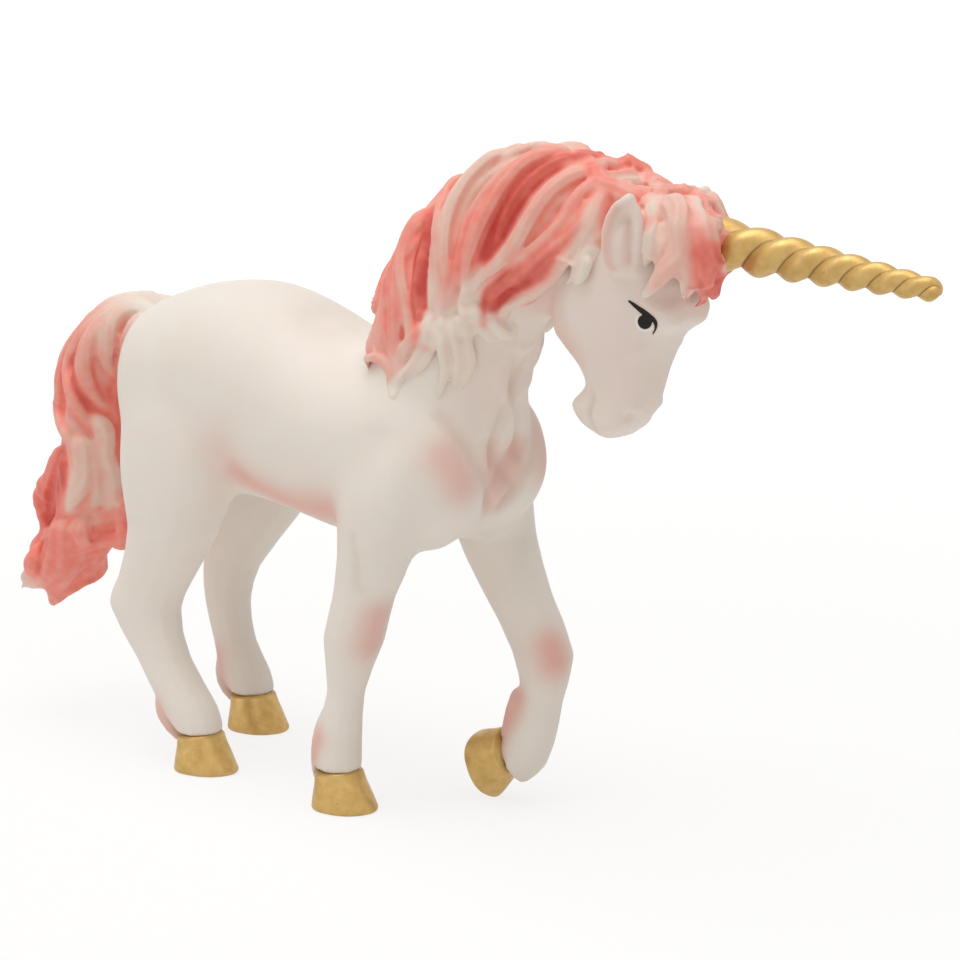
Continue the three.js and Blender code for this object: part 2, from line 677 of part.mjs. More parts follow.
const tailPegSeat = TAIL_ROOT.clone().addScaledVector(tailInward, -TAIL_PEG_ROOT);
const tailPeg = (clearance, gap) =>
  peg(tailPegSeat, tailInward, TAIL_PEG_RADIUS + clearance, TAIL_PEG_ROOT + TAIL_PEG_LENGTH + gap);

const upperLegs = Object.values(legTables).map((rows) => legForm(rows).intersect(aboveLegJoint));
const pectorals = [PECTORAL, mirrored(PECTORAL)].map((rows) => legForm(rows));
const neckAndHead = neckForm(0).add(headForm(0));
const bodySolid = mainBody(
  union([torsoForm(0), ...pectorals, ...upperLegs, neckAndHead.intersect(behindThroat)])
    .subtract(union(Object.values(legTables).map(legPegSocket)))
    .subtract(headPeg(PEG_CLEARANCE))
    .subtract(tailPeg(PEG_CLEARANCE, GLUE_GAP)),
);

const headSolid = mainBody(
  neckAndHead
    .add(earForms(0))
    .intersect(aheadOfThroat)
    .add(headPeg(0))
    .subtract(
      peg(HORN_ROOT, hornInward, HORN_PEG_RADIUS + PEG_CLEARANCE, HORN_PEG_LENGTH + GLUE_GAP),
    ),
);

// The hair is cut back from the skin under it by the glue gap.
const skinUnderHair = union([torsoForm(GLUE_GAP), neckForm(GLUE_GAP), headForm(GLUE_GAP)]);
const earClearance = earForms(GLUE_GAP);

const maneSide = halfSpace(
  new THREE.Vector3(MANE_FRONT_X - GLUE_GAP / 2, 0, 0),
  FORWARD.clone().negate(),
);
const forelockSide = halfSpace(new THREE.Vector3(MANE_FRONT_X + GLUE_GAP / 2, 0, 0), FORWARD);

const maneSolid = mainBody(
  union([
    crestLock(),
    ...headLocks(POLL_LOCKS),
    ...maneLocks(-1, MANE_LOCKS_RIGHT, 1),
    ...underLocks(-1, UNDER_LOCKS_RIGHT, 1),
    ...maneLocks(1, MANE_LOCKS_LEFT, MANE_LEFT_FALL),
    ...underLocks(1, UNDER_LOCKS_LEFT, MANE_LEFT_FALL),
  ])
    .intersect(maneSide)
    .subtract(skinUnderHair)
    .subtract(earClearance),
);

const hornForm = placed(hornSolid(), hornTurn);
const hornHole = peg(
  HORN_ROOT.clone().addScaledVector(hornInward, HORN_PEG_LENGTH),
  hornAxis,
  HORN_BASE_RADIUS + GLUE_GAP,
  HORN_PEG_LENGTH + HORN_LENGTH,
  24,
);
const forelockSolid = mainBody(
  union(headLocks(FORELOCK))
    .intersect(forelockSide)
    .subtract(skinUnderHair)
    .subtract(earClearance)
    .subtract(hornHole),
);

const hornPegSeat = HORN_ROOT.clone().addScaledVector(hornAxis, PEG_ROOT);
const hornPeg = peg(hornPegSeat, hornInward, HORN_PEG_RADIUS, PEG_ROOT + HORN_PEG_LENGTH);
const hornPart = mainBody(hornForm.subtract(headForm(GLUE_GAP)).add(hornPeg));

const tailPart = mainBody(tailSolid().subtract(torsoForm(GLUE_GAP)).add(tailPeg(0, 0)));

function tuft([x, y, level, , , behind], [heelX, heelY, heelLevel, , , heel], rise) {
  const route = [
    new THREE.Vector3(x - behind + TUFT_ROOT_DEPTH, y, level + rise + TUFT_ROOT_RISE),
    new THREE.Vector3(x - behind + TUFT_MIDDLE_DEPTH, y, level + rise / 2 - TUFT_MIDDLE_FALL),
    new THREE.Vector3(heelX - heel - TUFT_END_REACH, heelY, heelLevel - TUFT_END_FALL),
  ];
  return lockSolid(route, () => FORWARD.clone().negate(), TUFT_HALF_WIDTH, TUFT_HEIGHT, TUFT_SINK);
}

function legSolid(rows, fetlock, heel, tuftRise) {
  return legForm(rows)
    .intersect(belowLegJoint)
    .add(tuft(fetlock, heel, tuftRise))
    .add(peg(legPegSeat(rows), UP, LEG_PEG_RADIUS, PEG_ROOT + LEG_PEG_LENGTH));
}

function standingLeg(rows) {
  const [x, y] = rows.at(-1);
  const foot = new THREE.Vector3(x, y, HOOF_HEIGHT + STUB_ROOT);
  const stub = peg(foot, UP.clone().negate(), HOOF_STUB_RADIUS, STUB_ROOT + HOOF_STUB_LENGTH);
  const hoofRoom = peg(
    new THREE.Vector3(x, y, 0),
    UP,
    Math.max(HOOF_LEDGE_RADIUS, HOOF_SOLE_HEEL) + GLUE_GAP,
    HOOF_HEIGHT + GLUE_GAP,
    HOOF_SIDES * 2,
  );
  return legSolid(rows, rows.at(-2), rows.at(-1), 0).subtract(hoofRoom).add(stub);
}

const raisedPitch = THREE.MathUtils.degToRad(RAISED_HOOF_PITCH_DEG);
const raisedTurn = new THREE.Matrix4().makeRotationY(raisedPitch);
const raisedAxis = UP.clone().applyMatrix4(raisedTurn);
const raisedSoleZ = HOOF_SOLE_TOE * Math.sin(raisedPitch) - RAISED_TOE_FLAT;
const raisedCoronet = new THREE.Vector3(
  RAISED_HOOF_X,
  RAISED_HOOF_Y,
  raisedSoleZ + HOOF_HEIGHT * Math.cos(raisedPitch),
);
const raisedSole = raisedCoronet.clone().addScaledVector(raisedAxis, -HOOF_HEIGHT);

function raisedLeg(rows) {
  const seat = raisedCoronet.clone().addScaledVector(raisedAxis, GLUE_GAP);
  const stub = peg(
    seat.clone().addScaledVector(raisedAxis, STUB_ROOT),
    raisedAxis.clone().negate(),
    HOOF_STUB_RADIUS,
    STUB_ROOT + HOOF_STUB_LENGTH,
  );
  const clearOfHoof = halfSpace(seat, raisedAxis).add(aboveLegJoint);
  const feathered = legSolid(rows, rows.at(-3), rows.at(-2), RAISED_TUFT_RISE);
  return feathered.intersect(clearOfHoof).add(stub);
}

const legSolids = {
  right_foreleg: standingLeg(RIGHT_FORELEG),
  left_foreleg: raisedLeg(LEFT_FORELEG),
  right_hindleg: standingLeg(RIGHT_HINDLEG),
  left_hindleg: standingLeg(LEFT_HINDLEG),
};

function standingHoof(rows) {
  const [x, y] = rows.at(-1);
  return placed(hoofSolid(), new THREE.Matrix4().makeTranslation(x, y, 0));
}

function raisedHoof() {
  return placed(hoofSolid(), raisedTurn.clone().setPosition(raisedSole)).intersect(aboveGround);
}

const hoofSolids = {
  right_fore_hoof: standingHoof(RIGHT_FORELEG),
  left_fore_hoof: raisedHoof(),
  right_hind_hoof: standingHoof(RIGHT_HINDLEG),
  left_hind_hoof: standingHoof(LEFT_HINDLEG),
};

// Finishes

const whiteVinyl = new THREE.MeshStandardMaterial({ color: 0xf4efe9, roughness: 0.55, metalness: 0 });
const pinkVinyl = new THREE.MeshStandardMaterial({ color: 0xf0a79c, roughness: 0.55, metalness: 0 });
const goldPaint = new THREE.MeshStandardMaterial({ color: 0xb8934a, roughness: 0.4, metalness: 0.8 });

// The figure, centred over the middle of its own footprint

const figure = new THREE.Group();

function addPiece(name, solid, material) {
  const mesh = new THREE.Mesh(geometryFrom(solid).scale(SIZE, SIZE, SIZE), material);
  mesh.name = name;
  figure.add(mesh);
}

addPiece("body", bodySolid, whiteVinyl);
addPiece("head", headSolid, whiteVinyl);
for (const [name, solid] of Object.entries(legSolids)) addPiece(name, solid, whiteVinyl);
for (const [name, solid] of Object.entries(hoofSolids)) addPiece(name, solid, goldPaint);
addPiece("horn", hornPart, goldPaint);
addPiece("mane", maneSolid, pinkVinyl);
addPiece("forelock", forelockSolid, pinkVinyl);
addPiece("tail", tailPart, pinkVinyl);

const reach = new THREE.Box3().setFromObject(figure);
const middle = reach.getCenter(new THREE.Vector3());
figure.position.set(-middle.x, -middle.y, -reach.min.z);

const unicorn = new THREE.Group();
unicorn.add(figure);

export default unicorn;
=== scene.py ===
"""Looks of a painted vinyl unicorn figurine: skin, sculpted hair, gilt horn and hooves."""

import math

import bmesh
import bpy
import numpy as np
from mathutils import Matrix, Vector
from mathutils.bvhtree import BVHTree


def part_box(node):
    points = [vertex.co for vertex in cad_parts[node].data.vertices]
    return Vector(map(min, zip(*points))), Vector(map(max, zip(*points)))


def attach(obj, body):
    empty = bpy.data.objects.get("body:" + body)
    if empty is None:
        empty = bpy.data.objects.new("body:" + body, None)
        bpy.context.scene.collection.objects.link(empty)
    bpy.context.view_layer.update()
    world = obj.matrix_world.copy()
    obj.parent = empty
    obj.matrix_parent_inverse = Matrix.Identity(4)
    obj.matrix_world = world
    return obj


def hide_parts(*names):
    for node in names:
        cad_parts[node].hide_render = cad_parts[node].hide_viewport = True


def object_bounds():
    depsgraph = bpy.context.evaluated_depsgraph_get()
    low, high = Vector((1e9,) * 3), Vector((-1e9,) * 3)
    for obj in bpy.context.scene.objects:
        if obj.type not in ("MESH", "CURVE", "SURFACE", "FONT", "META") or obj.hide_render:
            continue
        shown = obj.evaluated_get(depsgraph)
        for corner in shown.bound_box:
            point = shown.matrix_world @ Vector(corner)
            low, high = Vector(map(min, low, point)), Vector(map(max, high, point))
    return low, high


bl_info = {
    "name": "Unicorn figurine",
    "version": (1, 0, 0),
    "blender": (4, 5, 0),
    "location": "View3D > Sidebar > Figurine",
    "description": "Skin, hair, horn, hooves and eyes of a painted vinyl unicorn",
    "category": "Object",
}

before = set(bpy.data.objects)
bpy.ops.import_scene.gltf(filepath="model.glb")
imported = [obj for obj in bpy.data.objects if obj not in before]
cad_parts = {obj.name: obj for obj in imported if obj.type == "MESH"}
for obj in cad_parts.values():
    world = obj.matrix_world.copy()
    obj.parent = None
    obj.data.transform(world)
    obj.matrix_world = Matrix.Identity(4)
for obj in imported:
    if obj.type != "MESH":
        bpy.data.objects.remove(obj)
CAD_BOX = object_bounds()
MM = 0.001

# The picture that the figure is seen in, and the camera that sees it
PICTURE_SIDE = 960
CAMERA_AIM = Vector((10.28, 0.0, 46.75)) * MM
CAMERA_AZIMUTH = math.radians(40)
CAMERA_ELEVATION = math.radians(12)
CAMERA_DISTANCE = 0.450
CAMERA_LENS = 124.9
CAMERA_SENSOR = 36.0

# Where the mouldings part: the leg joint's height and the plane behind the jaw
LEG_JOINT_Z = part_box("body")[0].z
THROAT = Vector((24.88, 0.0, 78.0)) * MM
THROAT_NORMAL = Vector((0.951, 0.0, -0.309))
THROAT_LOWEST_Z = 62 * MM

# The white mouldings, and how far each is swollen before they are drawn into one skin
SKIN_NODES = (
    "body",
    "head",
    "right_foreleg",
    "left_foreleg",
    "right_hindleg",
    "left_hindleg",
)
SWELL = 0.2 * MM

# What one step leaves for the next
SHARED = {}


def linear(hex_colour):
    """An sRGB hex colour as linear red, green and blue."""
    channels = [int(hex_colour[i : i + 2], 16) / 255 for i in (1, 3, 5)]
    return tuple(c / 12.92 if c <= 0.04045 else ((c + 0.055) / 1.055) ** 2.4 for c in channels)


# Strands of the hair on the picture: pixel route from root to tip, half width and lift off the core in mm,
# tone at the root and at the tip from 0 pale to 1 deep red, and how white the root and the tip are.
MANE_STRANDS = (
    (
        [(420, 232), (402, 261), (390, 288), (381, 318), (375, 340), (371, 355)],
        1.3, -0.3, 0.45, 0.3, 0, 0.15,
    ),
    (
        [(431, 211), (411, 237), (397, 264), (388, 291), (383, 318), (381, 346), (379, 366)],
        1.3, 0.0, 0.5, 0.35, 0, 0.15,
    ),
    ([(412, 232), (401, 262), (396, 290), (395, 318), (394, 346), (390, 373)], 1.5, -0.1, 0.5, 0.4, 0, 0.3),
    (
        [(430, 208), (414, 228), (405, 251), (403, 275), (407, 301), (410, 326), (408, 346), (402, 366)],
        1.3, 0.2, 0.35, 0.25, 0, 0.35,
    ),
    ([(386, 312), (380, 340), (375, 361)], 1.4, -0.7, 0.45, 0.35, 0, 0.15),
    ([(420, 306), (419, 336), (411, 362)], 1.4, -0.3, 0.6, 0.3, 0, 0.7),
    ([(432, 210), (425, 237), (421, 269), (422, 301), (426, 342)], 1.0, -0.4, 0.95, 1.0, 0, 0),
    ([(424, 248), (418, 280), (418, 309), (426, 340)], 0.7, 0.1, 0.8, 0.9, 0, 0),
    (
        [(466, 174), (450, 189), (442, 208), (438, 232), (438, 259), (437, 283), (435, 304)],
        1.0, 0.1, 0.4, 0.12, 0, 0.4,
    ),
    (
        [(514, 150), (490, 162), (469, 182), (455, 204), (448, 226),
         (446, 253), (447, 277), (442, 301), (437, 323), (439, 342)],
        1.3, 0.3, 0.05, 0.4, 0.0, 1,
    ),
    (
        [(538, 159), (509, 173), (490, 193), (475, 216), (466, 240),
         (460, 264), (454, 285), (443, 304), (438, 323)],
        1.2, 0.2, 0.35, 0.6, 0, 0.9,
    ),
    (
        [(562, 150), (528, 163), (506, 184), (490, 208), (478, 229),
         (471, 251), (467, 272), (466, 296), (468, 326)],
        1.3, 0.3, 0.45, 0.45, 0, 0.9,
    ),
    (
        [(576, 155), (549, 165), (528, 181), (514, 198), (502, 222), (493, 243), (487, 259)],
        1.4, -0.5, 0.85, 1.0, 0, 0,
    ),
    (
        [(597, 169), (570, 178), (550, 193), (537, 210), (525, 229),
         (511, 248), (497, 263), (482, 275), (471, 291), (467, 315)],
        1.3, 0.25, 0.3, 0.15, 0, 0.8,
    ),
    (
        [(629, 176), (597, 184), (578, 200), (566, 221), (546, 240), (522, 256), (498, 267), (485, 276)],
        1.1, 0.35, 0.42, 0.3, 0, 0.2,
    ),
    (
        [(602, 194), (586, 214), (569, 234), (545, 253), (518, 272), (494, 293), (483, 317)],
        1.4, 0.0, 0.45, 0.8, 0, 0,
    ),
    (
        [(608, 194), (594, 216), (580, 238), (558, 260), (531, 283), (504, 301), (488, 322)],
        1.4, -0.4, 0.7, 1.0, 0, 0,
    ),
    (
        [(594, 210), (584, 232), (570, 253), (552, 275), (534, 292), (516, 303), (504, 315), (497, 328)],
        0.9, 0.25, 0.2, 0.15, 0.3, 0.5,
    ),
    ([(527, 145), (507, 153), (481, 166), (460, 185), (444, 200), (428, 212)], 1.1, -0.4, 0.2, 0.4, 0, 0),
    ([(570, 151), (546, 147), (527, 148), (503, 158), (481, 170)], 1.1, -0.3, 0.08, 0.1, 0, 0),
    ([(678, 202), (650, 183), (631, 168), (612, 161), (592, 154), (570, 154)], 1.3, -0.5, 0.45, 0.8, 0, 0),
    ([(661, 194), (642, 180), (621, 168), (596, 163), (573, 165)], 1.1, 0.0, 0.3, 0.3, 0, 0),
    ([(668, 194), (655, 180), (638, 168), (618, 161)], 0.9, -0.3, 0.45, 0.55, 0, 0),
    (
        [(637, 180), (611, 188), (596, 206), (588, 229), (581, 251), (573, 272), (562, 288)],
        1.1, 0.1, 0.3, 0.1, 0.5, 0.9,
    ),
    ([(589, 256), (582, 275), (572, 287)], 0.7, 0.2, 0.1, 0.1, 0.9, 1),
    ([(432, 315), (427, 342), (415, 363), (403, 375), (394, 389)], 0.9, 0.45, 0.1, 0.1, 0.6, 1),
    ([(438, 323), (431, 350), (420, 368), (408, 379)], 0.9, 0.15, 0.1, 0.1, 0.8, 1),
    ([(443, 315), (443, 339), (446, 360), (443, 382), (435, 405)], 0.85, 0.5, 0.1, 0.1, 0.8, 1),
    ([(451, 315), (454, 339), (458, 358), (455, 376), (451, 394)], 0.75, 0.2, 0.1, 0.1, 0.8, 1),
    ([(458, 315), (466, 339), (471, 358), (467, 374), (457, 394)], 0.8, 0.5, 0.1, 0.1, 0.8, 1),
    ([(471, 301), (479, 323), (490, 339), (503, 342)], 1.0, 0.1, 0.1, 0.1, 0.9, 1),
    ([(490, 318), (501, 331), (511, 334), (515, 318)], 1.1, 0.0, 0.1, 0.1, 1, 1),
    ([(469, 285), (464, 307), (467, 331)], 0.8, 0.3, 0.1, 0.1, 0.7, 1),
    ([(672, 203), (657, 191), (641, 181), (620, 171)], 1.7, -0.1, 0.3, 0.35, 0.1, 0),
)
FORELOCK_STRANDS = (
    (
        [(663, 203), (674, 210), (680, 222), (681, 238), (679, 252),
         (672, 264), (662, 276), (652, 287), (641, 298)],
        1.7, 0.6, 0.25, 0.4, 0.3, 1,
    ),
    ([(655, 203), (652, 222), (650, 240), (648, 256), (645, 270)], 1.2, 0.3, 0.15, 0.15, 0.7, 0.9),
    ([(666, 222), (665, 240), (662, 256), (656, 272)], 1.3, 0.0, 0.3, 0.25, 0.4, 0.6),
    ([(681, 206), (684, 222), (685, 245), (684, 268), (681, 296)], 0.8, 0.7, 0.12, 0.25, 0.4, 0.7),
    (
        [(685, 202), (688, 214), (690, 230), (691, 250), (691, 270), (690, 286), (690, 301)],
        1.3, 0.1, 0.35, 0.5, 0.1, 0.6,
    ),
    ([(694, 214), (701, 230), (705, 248), (706, 265), (706, 282), (705, 298)], 1.8, 0.1, 0.5, 0.65, 0, 0.1),
    ([(688, 204), (697, 212), (704, 223), (709, 236), (711, 246)], 0.9, 0.7, 0.1, 0.05, 0.5, 0.6),
    ([(710, 248), (715, 258), (719, 266), (723, 273)], 0.5, 1.1, 0.15, 0.1, 0.5, 0.5),
    ([(661, 193), (673, 194), (687, 193), (697, 197), (706, 204), (716, 212)], 1.2, 0.1, 0.35, 0.4, 0, 0),
    ([(682, 211), (692, 206), (702, 206), (713, 210)], 1.0, 0.0, 0.3, 0.35, 0.1, 0),
)
# The locks that close round the horn's foot on the right flank alone
HORN_STRANDS = (
    ([(706, 250), (714, 264), (718, 280), (716, 291), (709, 297)], 1.6, 0.2, 0.75, 0.9, 0, 0),
    ([(718, 244), (727, 254), (731, 266), (730, 279), (724, 290)], 1.4, 0.1, 0.5, 0.75, 0, 0),
    ([(702, 228), (713, 225), (724, 226), (735, 231)], 1.4, 0.0, 0.2, 0.25, 0.1, 0.2),
    ([(706, 240), (717, 239), (727, 244), (732, 254)], 1.3, 0.1, 0.3, 0.5, 0, 0),
    ([(698, 222), (708, 217), (719, 217), (729, 220), (737, 226)], 1.0, -0.2, 0.5, 0.45, 0, 0),
)
TAIL_STRANDS = (
    (
        [(157, 305), (136, 300), (112, 306), (95, 320), (77, 341),
         (66, 361), (61, 381), (60, 405), (62, 427), (65, 447)],
        1.7, 0, 0.4, 0.5, 0.95, 0,
    ),
    (
        [(150, 305), (126, 305), (104, 318), (86, 336), (74, 357),
         (70, 376), (73, 398), (83, 417), (95, 434), (102, 451)],
        1.4, 0.3, 0.4, 0.42, 0.9, 0,
    ),
    (
        [(150, 310), (121, 312), (102, 327), (90, 344), (84, 362),
         (86, 379), (95, 396), (106, 409), (112, 416)],
        1.6, 0.4, 0.3, 0.42, 0.9, 0,
    ),
    (
        [(155, 313), (132, 310), (115, 322), (107, 339), (105, 356), (111, 371), (118, 380)],
        1.7, 0.5, 0.12, 0.3, 0.95, 0,
    ),
    ([(148, 319), (136, 328), (128, 344), (124, 358), (119, 376)], 1.6, 0.1, 0.3, 0.35, 0.5, 0),
    ([(79, 340), (76, 362), (77, 381), (85, 401), (102, 417)], 1.0, -0.4, 0.85, 0.95, 0, 0),
    (
        [(121, 374), (119, 405), (120, 430), (124, 454), (130, 478), (136, 500), (137, 522)],
        1.6, -0.2, 0.7, 0.5, 0, 0,
    ),
    (
        [(93, 413), (103, 430), (103, 451), (109, 471), (113, 490), (107, 512), (103, 524)],
        1.8, 0.4, 0.12, 0.0, 0, 0,
    ),
    ([(78, 434), (82, 461), (80, 483), (73, 500), (63, 516)], 1.9, 0.35, 0.15, 0.0, 0, 0),
    ([(88, 439), (93, 468), (94, 493), (90, 519)], 1.7, 0.2, 0.1, 0.05, 0, 0),
    ([(61, 391), (64, 420), (69, 439), (74, 456)], 1.3, 0.35, 0.4, 0.35, 0, 0),
    ([(63, 449), (54, 473), (45, 493), (42, 514), (44, 534)], 1.9, 0, 0.6, 0.6, 0, 0),
    ([(63, 454), (66, 478), (65, 497), (59, 514), (52, 529)], 1.5, -0.2, 0.9, 0.95, 0, 0),
    ([(52, 478), (42, 485), (39, 499)], 1.1, 0.2, 0.6, 0.6, 0, 0),
    ([(58, 531), (41, 546), (33, 560), (29, 572), (25, 582)], 1.9, 0.1, 0.6, 0.5, 0, 0.6),
    ([(57, 539), (47, 553), (40, 568)], 1.3, -0.4, 1.0, 1.0, 0, 0),
    ([(67, 519), (59, 546), (50, 570), (39, 580), (24, 586)], 2.2, 0.3, 0.5, 0.35, 0, 0.8),
    ([(84, 517), (74, 551), (59, 577), (52, 608)], 2.1, 0.35, 0.45, 0.42, 0, 0.15),
    ([(103, 519), (93, 551), (76, 573), (61, 592), (52, 607)], 2.0, 0.15, 0.5, 0.5, 0, 0.1),
    ([(136, 519), (127, 536), (116, 558), (98, 571), (73, 587), (57, 600)], 1.7, 0, 0.5, 0.55, 0, 0),
    ([(116, 519), (112, 534), (108, 545)], 1.3, 0.4, 0.3, 0.25, 0, 0),
    ([(126, 490), (121, 517), (109, 541), (92, 558)], 1.8, 0, 0.5, 0.6, 0, 0),
)

# The eye's paint on the picture: the lash from its outer end with half widths, the pupil and its rim
LASH = (
    (628.6, 300.6, 0.7),
    (632.0, 303.2, 1.5),
    (638.0, 307.8, 1.9),
    (644.0, 312.3, 2.4),
    (650.0, 317.0, 2.7),
    (654.6, 321.0, 2.7),
    (656.0, 325.5, 2.2),
    (655.2, 329.6, 1.6),
    (653.3, 332.6, 0.9),
    (652.9, 333.8, 0.4),
)
PUPIL = (645.0, 321.6, 7.1)
RIM = (
    (638.2, 314.4, 0.9),
    (636.4, 320.5, 1.2),
    (638.4, 327.0, 1.2),
    (643.5, 330.6, 1.3),
    (650.0, 329.0, 1.1),
    (653.0, 326.0, 0.5),
)

# Lines sculpted in the skin: pixel route, half width in mm, height in mm (a groove is negative)
SCULPTED_LINES = (
    ([(520, 350), (507, 366), (495, 400), (487, 430), (484, 462)], 0.9, 0.45),
    ([(540, 340), (530, 367), (515, 400), (503, 428), (497, 446)], 0.9, 0.45),
    ([(530, 352), (512, 392), (496, 428), (490, 460)], 0.9, -0.45),
    ([(441, 417), (465, 444), (481, 471), (488, 503)], 1.1, -0.45),
    ([(515, 441), (502, 468), (490, 493), (488, 510)], 1.0, -0.45),
    ([(594, 430), (588, 416), (592, 398)], 0.55, -0.55),
    ([(338, 313), (350, 319), (361, 327)], 3.0, -0.6),
    ([(352, 536), (356, 562), (358, 590)], 0.8, -0.35),
    ([(224, 430), (228, 452), (238, 474)], 2.2, -0.4),
    ([(380, 520), (372, 480), (378, 440)], 2.0, -0.4),
    ([(600, 356), (616, 358), (636, 350)], 1.0, 0.25),
    ([(650, 306), (664, 306), (682, 300)], 0.8, 0.4),
    ([(612, 262), (608, 242), (608, 229), (613, 213), (622, 203), (629, 200)], 0.6, 0.45),
    ([(629, 200), (634, 206), (637, 215), (639, 228), (637, 246), (634, 266)], 0.6, 0.45),
    ([(627, 222), (629, 240), (630, 262)], 0.6, -0.5),
)
SCULPTED_SPOTS = (
    ((630, 417), 0.9, -0.9),
    ((632, 410), 1.0, 0.45),
    ((576, 402), 1.2, 0.3),
    ((645, 322), 2.0, 0.35),
    ((693, 311), 2.2, 1.9),
)

# The ear's leaf: pixel route, half width and lift in mm
EAR_LEAF = (
    (
        [(616, 276), (611, 258), (609, 240), (612, 223), (619, 210),
         (627, 205), (634, 211), (638, 226), (638, 250), (634, 274)],
        1.0, 0.3,
    ),
    ([(624, 272), (624, 245), (627, 214)], 1.4, -0.3),
)

# Airbrushed pink on both flanks, and on one leg alone: pixel route, radius in mm, strength
BLUSHES = (
    ([(222, 454), (236, 472)], 4.0, 0.28),
    ([(240, 474), (264, 490), (296, 504), (332, 512)], 3.4, 0.62),
    ([(446, 458), (454, 469), (462, 484)], 3.2, 0.5),
    ([(514, 456), (508, 470), (500, 488)], 3.0, 0.5),
    ([(489, 492), (489, 506)], 1.6, 0.4),
    ([(545, 300), (556, 330), (566, 345)], 5.0, 0.35),
    ([(596, 290), (612, 330), (620, 380)], 8.0, 0.16),
    ([(500, 350), (490, 400)], 6.0, 0.14),
    ([(612, 268), (605, 244), (608, 222), (616, 208)], 1.0, 0.55),
    ([(629, 226), (630, 262)], 0.7, 0.4),
    ([(624, 210), (622, 262)], 4.0, 0.22),
    ([(650, 300), (672, 300), (690, 306)], 3.0, 0.25),
)
LEG_BLUSHES = (
    ([(378, 618), (374, 632), (371, 646)], 2.8, 0.55),
    ([(552, 648), (555, 661)], 2.9, 0.7),
    ([(318, 738), (313, 756)], 1.9, 0.6),
    ([(516, 698), (508, 716), (497, 742)], 2.0, 0.7),
    ([(160, 708), (166, 726), (176, 742)], 2.3, 0.5),
    ([(218, 656), (221, 672), (228, 688)], 2.2, 0.5),
)


def paint_setting(name, description, hex_colour):
    """A colour that can be set."""
    return bpy.props.FloatVectorProperty(
        name=name, description=description, default=linear(hex_colour), subtype="COLOR", size=3
    )


def power_setting(name, description, watts):
    """A lamp's power that can be set."""
    return bpy.props.FloatProperty(name=name, description=description, default=watts, unit="POWER")


class SkinSettings(bpy.types.PropertyGroup):
    """The white vinyl and the eyes."""

    voxel: bpy.props.FloatProperty(
        name="Grain", description="Mesh spacing of the skin", default=0.42 * MM, unit="LENGTH", precision=5
    )
    cream: paint_setting("Cream", "Cream white paint", "#F3EDE6")
    warm: paint_setting("Warm", "Warmer patches of the cream", "#F0E7DD")
    # The shade colour is painted shade, mixed into the cream along the narrow creases
    shade: paint_setting("Shade", "Wash in the hollows", "#CDB8A4")
    blush: paint_setting("Blush", "Airbrushed pink", "#E9A090")
    eye: paint_setting("Eye", "Black paint of the eyes", "#16120F")
    eye_cloud: paint_setting("Eye cloud", "Thinner black of the eyes", "#26211E")
    rim: paint_setting("Rim", "White paint of the eyes", "#FBF9F6")
    rim_cloud: paint_setting("Rim cloud", "Thinner white of the eyes", "#F2EEE8")


class HairSettings(bpy.types.PropertyGroup):
    """The pink hair."""

    # Pale, salmon and deep are the hair's own pinks; the ridges also take paler and the grooves deeper tones
    # of them as painted highlight and shade
    pale: paint_setting("Pale", "Pale pink on raised hair", "#EFCDBE")
    salmon: paint_setting("Salmon", "Main pink of the hair", "#F98F80")
    deep: paint_setting("Deep", "Red pink in the grooves", "#CE4C42")
    tip: paint_setting("Tip", "Cream tips of the locks", "#F0E6DA")


class GiltSettings(bpy.types.PropertyGroup):
    """The gold paint and the horn's twist."""

    gold: paint_setting("Gold", "Metallic gold paint", "#D2AE6C")
    bronze: paint_setting("Bronze", "Darker patches of the gold", "#AC863F")
    scuff: paint_setting("Scuff", "Spots where the gold is worn", "#8A6A34")
    # Shade umber is painted shade for the horn's grooves, the hoof's ledge and its sole
    shade_umber: paint_setting("Umber", "Dark wash in the grooves", "#5A4320")
    turns: bpy.props.FloatProperty(name="Turns", description="Turns of the horn's strands", default=4.0)


class StageSettings(bpy.types.PropertyGroup):
    """Floor and light."""

    floor: paint_setting("Floor", "Pale floor", "#F4F4F4")
    key: power_setting("Key", "Power of the overhead softbox", 3.7)
    fill: power_setting("Fill", "Power of the front softbox", 0.27)
    side: power_setting("Side", "Power of the left softbox", 0.35)
    sky: bpy.props.FloatProperty(name="Sky", description="Strength of the light all round", default=0.44)
    warmth: paint_setting("Warmth", "Tint of the light all round", "#FFFAF2")


# Camera and picture


def camera_axes():
    """Place of the camera, then the directions to the right, up and ahead."""
    level = Vector((math.sin(CAMERA_AZIMUTH), -math.cos(CAMERA_AZIMUTH), 0.0))
    away = level * math.cos(CAMERA_ELEVATION) + Vector((0, 0, math.sin(CAMERA_ELEVATION)))
    ahead = -away.normalized()
    right = ahead.cross(Vector((0, 0, 1))).normalized()
    return CAMERA_AIM + away * CAMERA_DISTANCE, right, right.cross(ahead), ahead


def pixel_ray(u, v):
    """Where the camera is, and the direction in which it sees a pixel."""
    place, right, up, ahead = camera_axes()
    reach = CAMERA_LENS / CAMERA_SENSOR * PICTURE_SIDE
    half = PICTURE_SIDE / 2
    return place, (ahead + right * ((u - half) / reach) + up * ((half - v) / reach)).normalized()


# Where a ray that meets nothing is searched: how far before the aim it starts, its steps and their length
SEARCH_BEFORE = 0.09
SEARCH_STEPS = 61
SEARCH_STRIDE = 0.003


def seen(tree, u, v):
    """The surface point and its normal under a pixel, or the nearest one where the ray passes by."""
    place, along = pixel_ray(u, v)
    point, normal, _, _ = tree.ray_cast(place, along)
    if point is not None:
        return point, normal
    best = None
    for step in range(SEARCH_STEPS):
        spot = place + along * (CAMERA_DISTANCE - SEARCH_BEFORE + SEARCH_STRIDE * step)
        point, normal, _, gap = tree.find_nearest(spot)
        if best is None or gap < best[0]:
            best = (gap, point, normal)
    return best[1], best[2]


# Meshes

# Points nearer than this are one
WELD = 1e-6


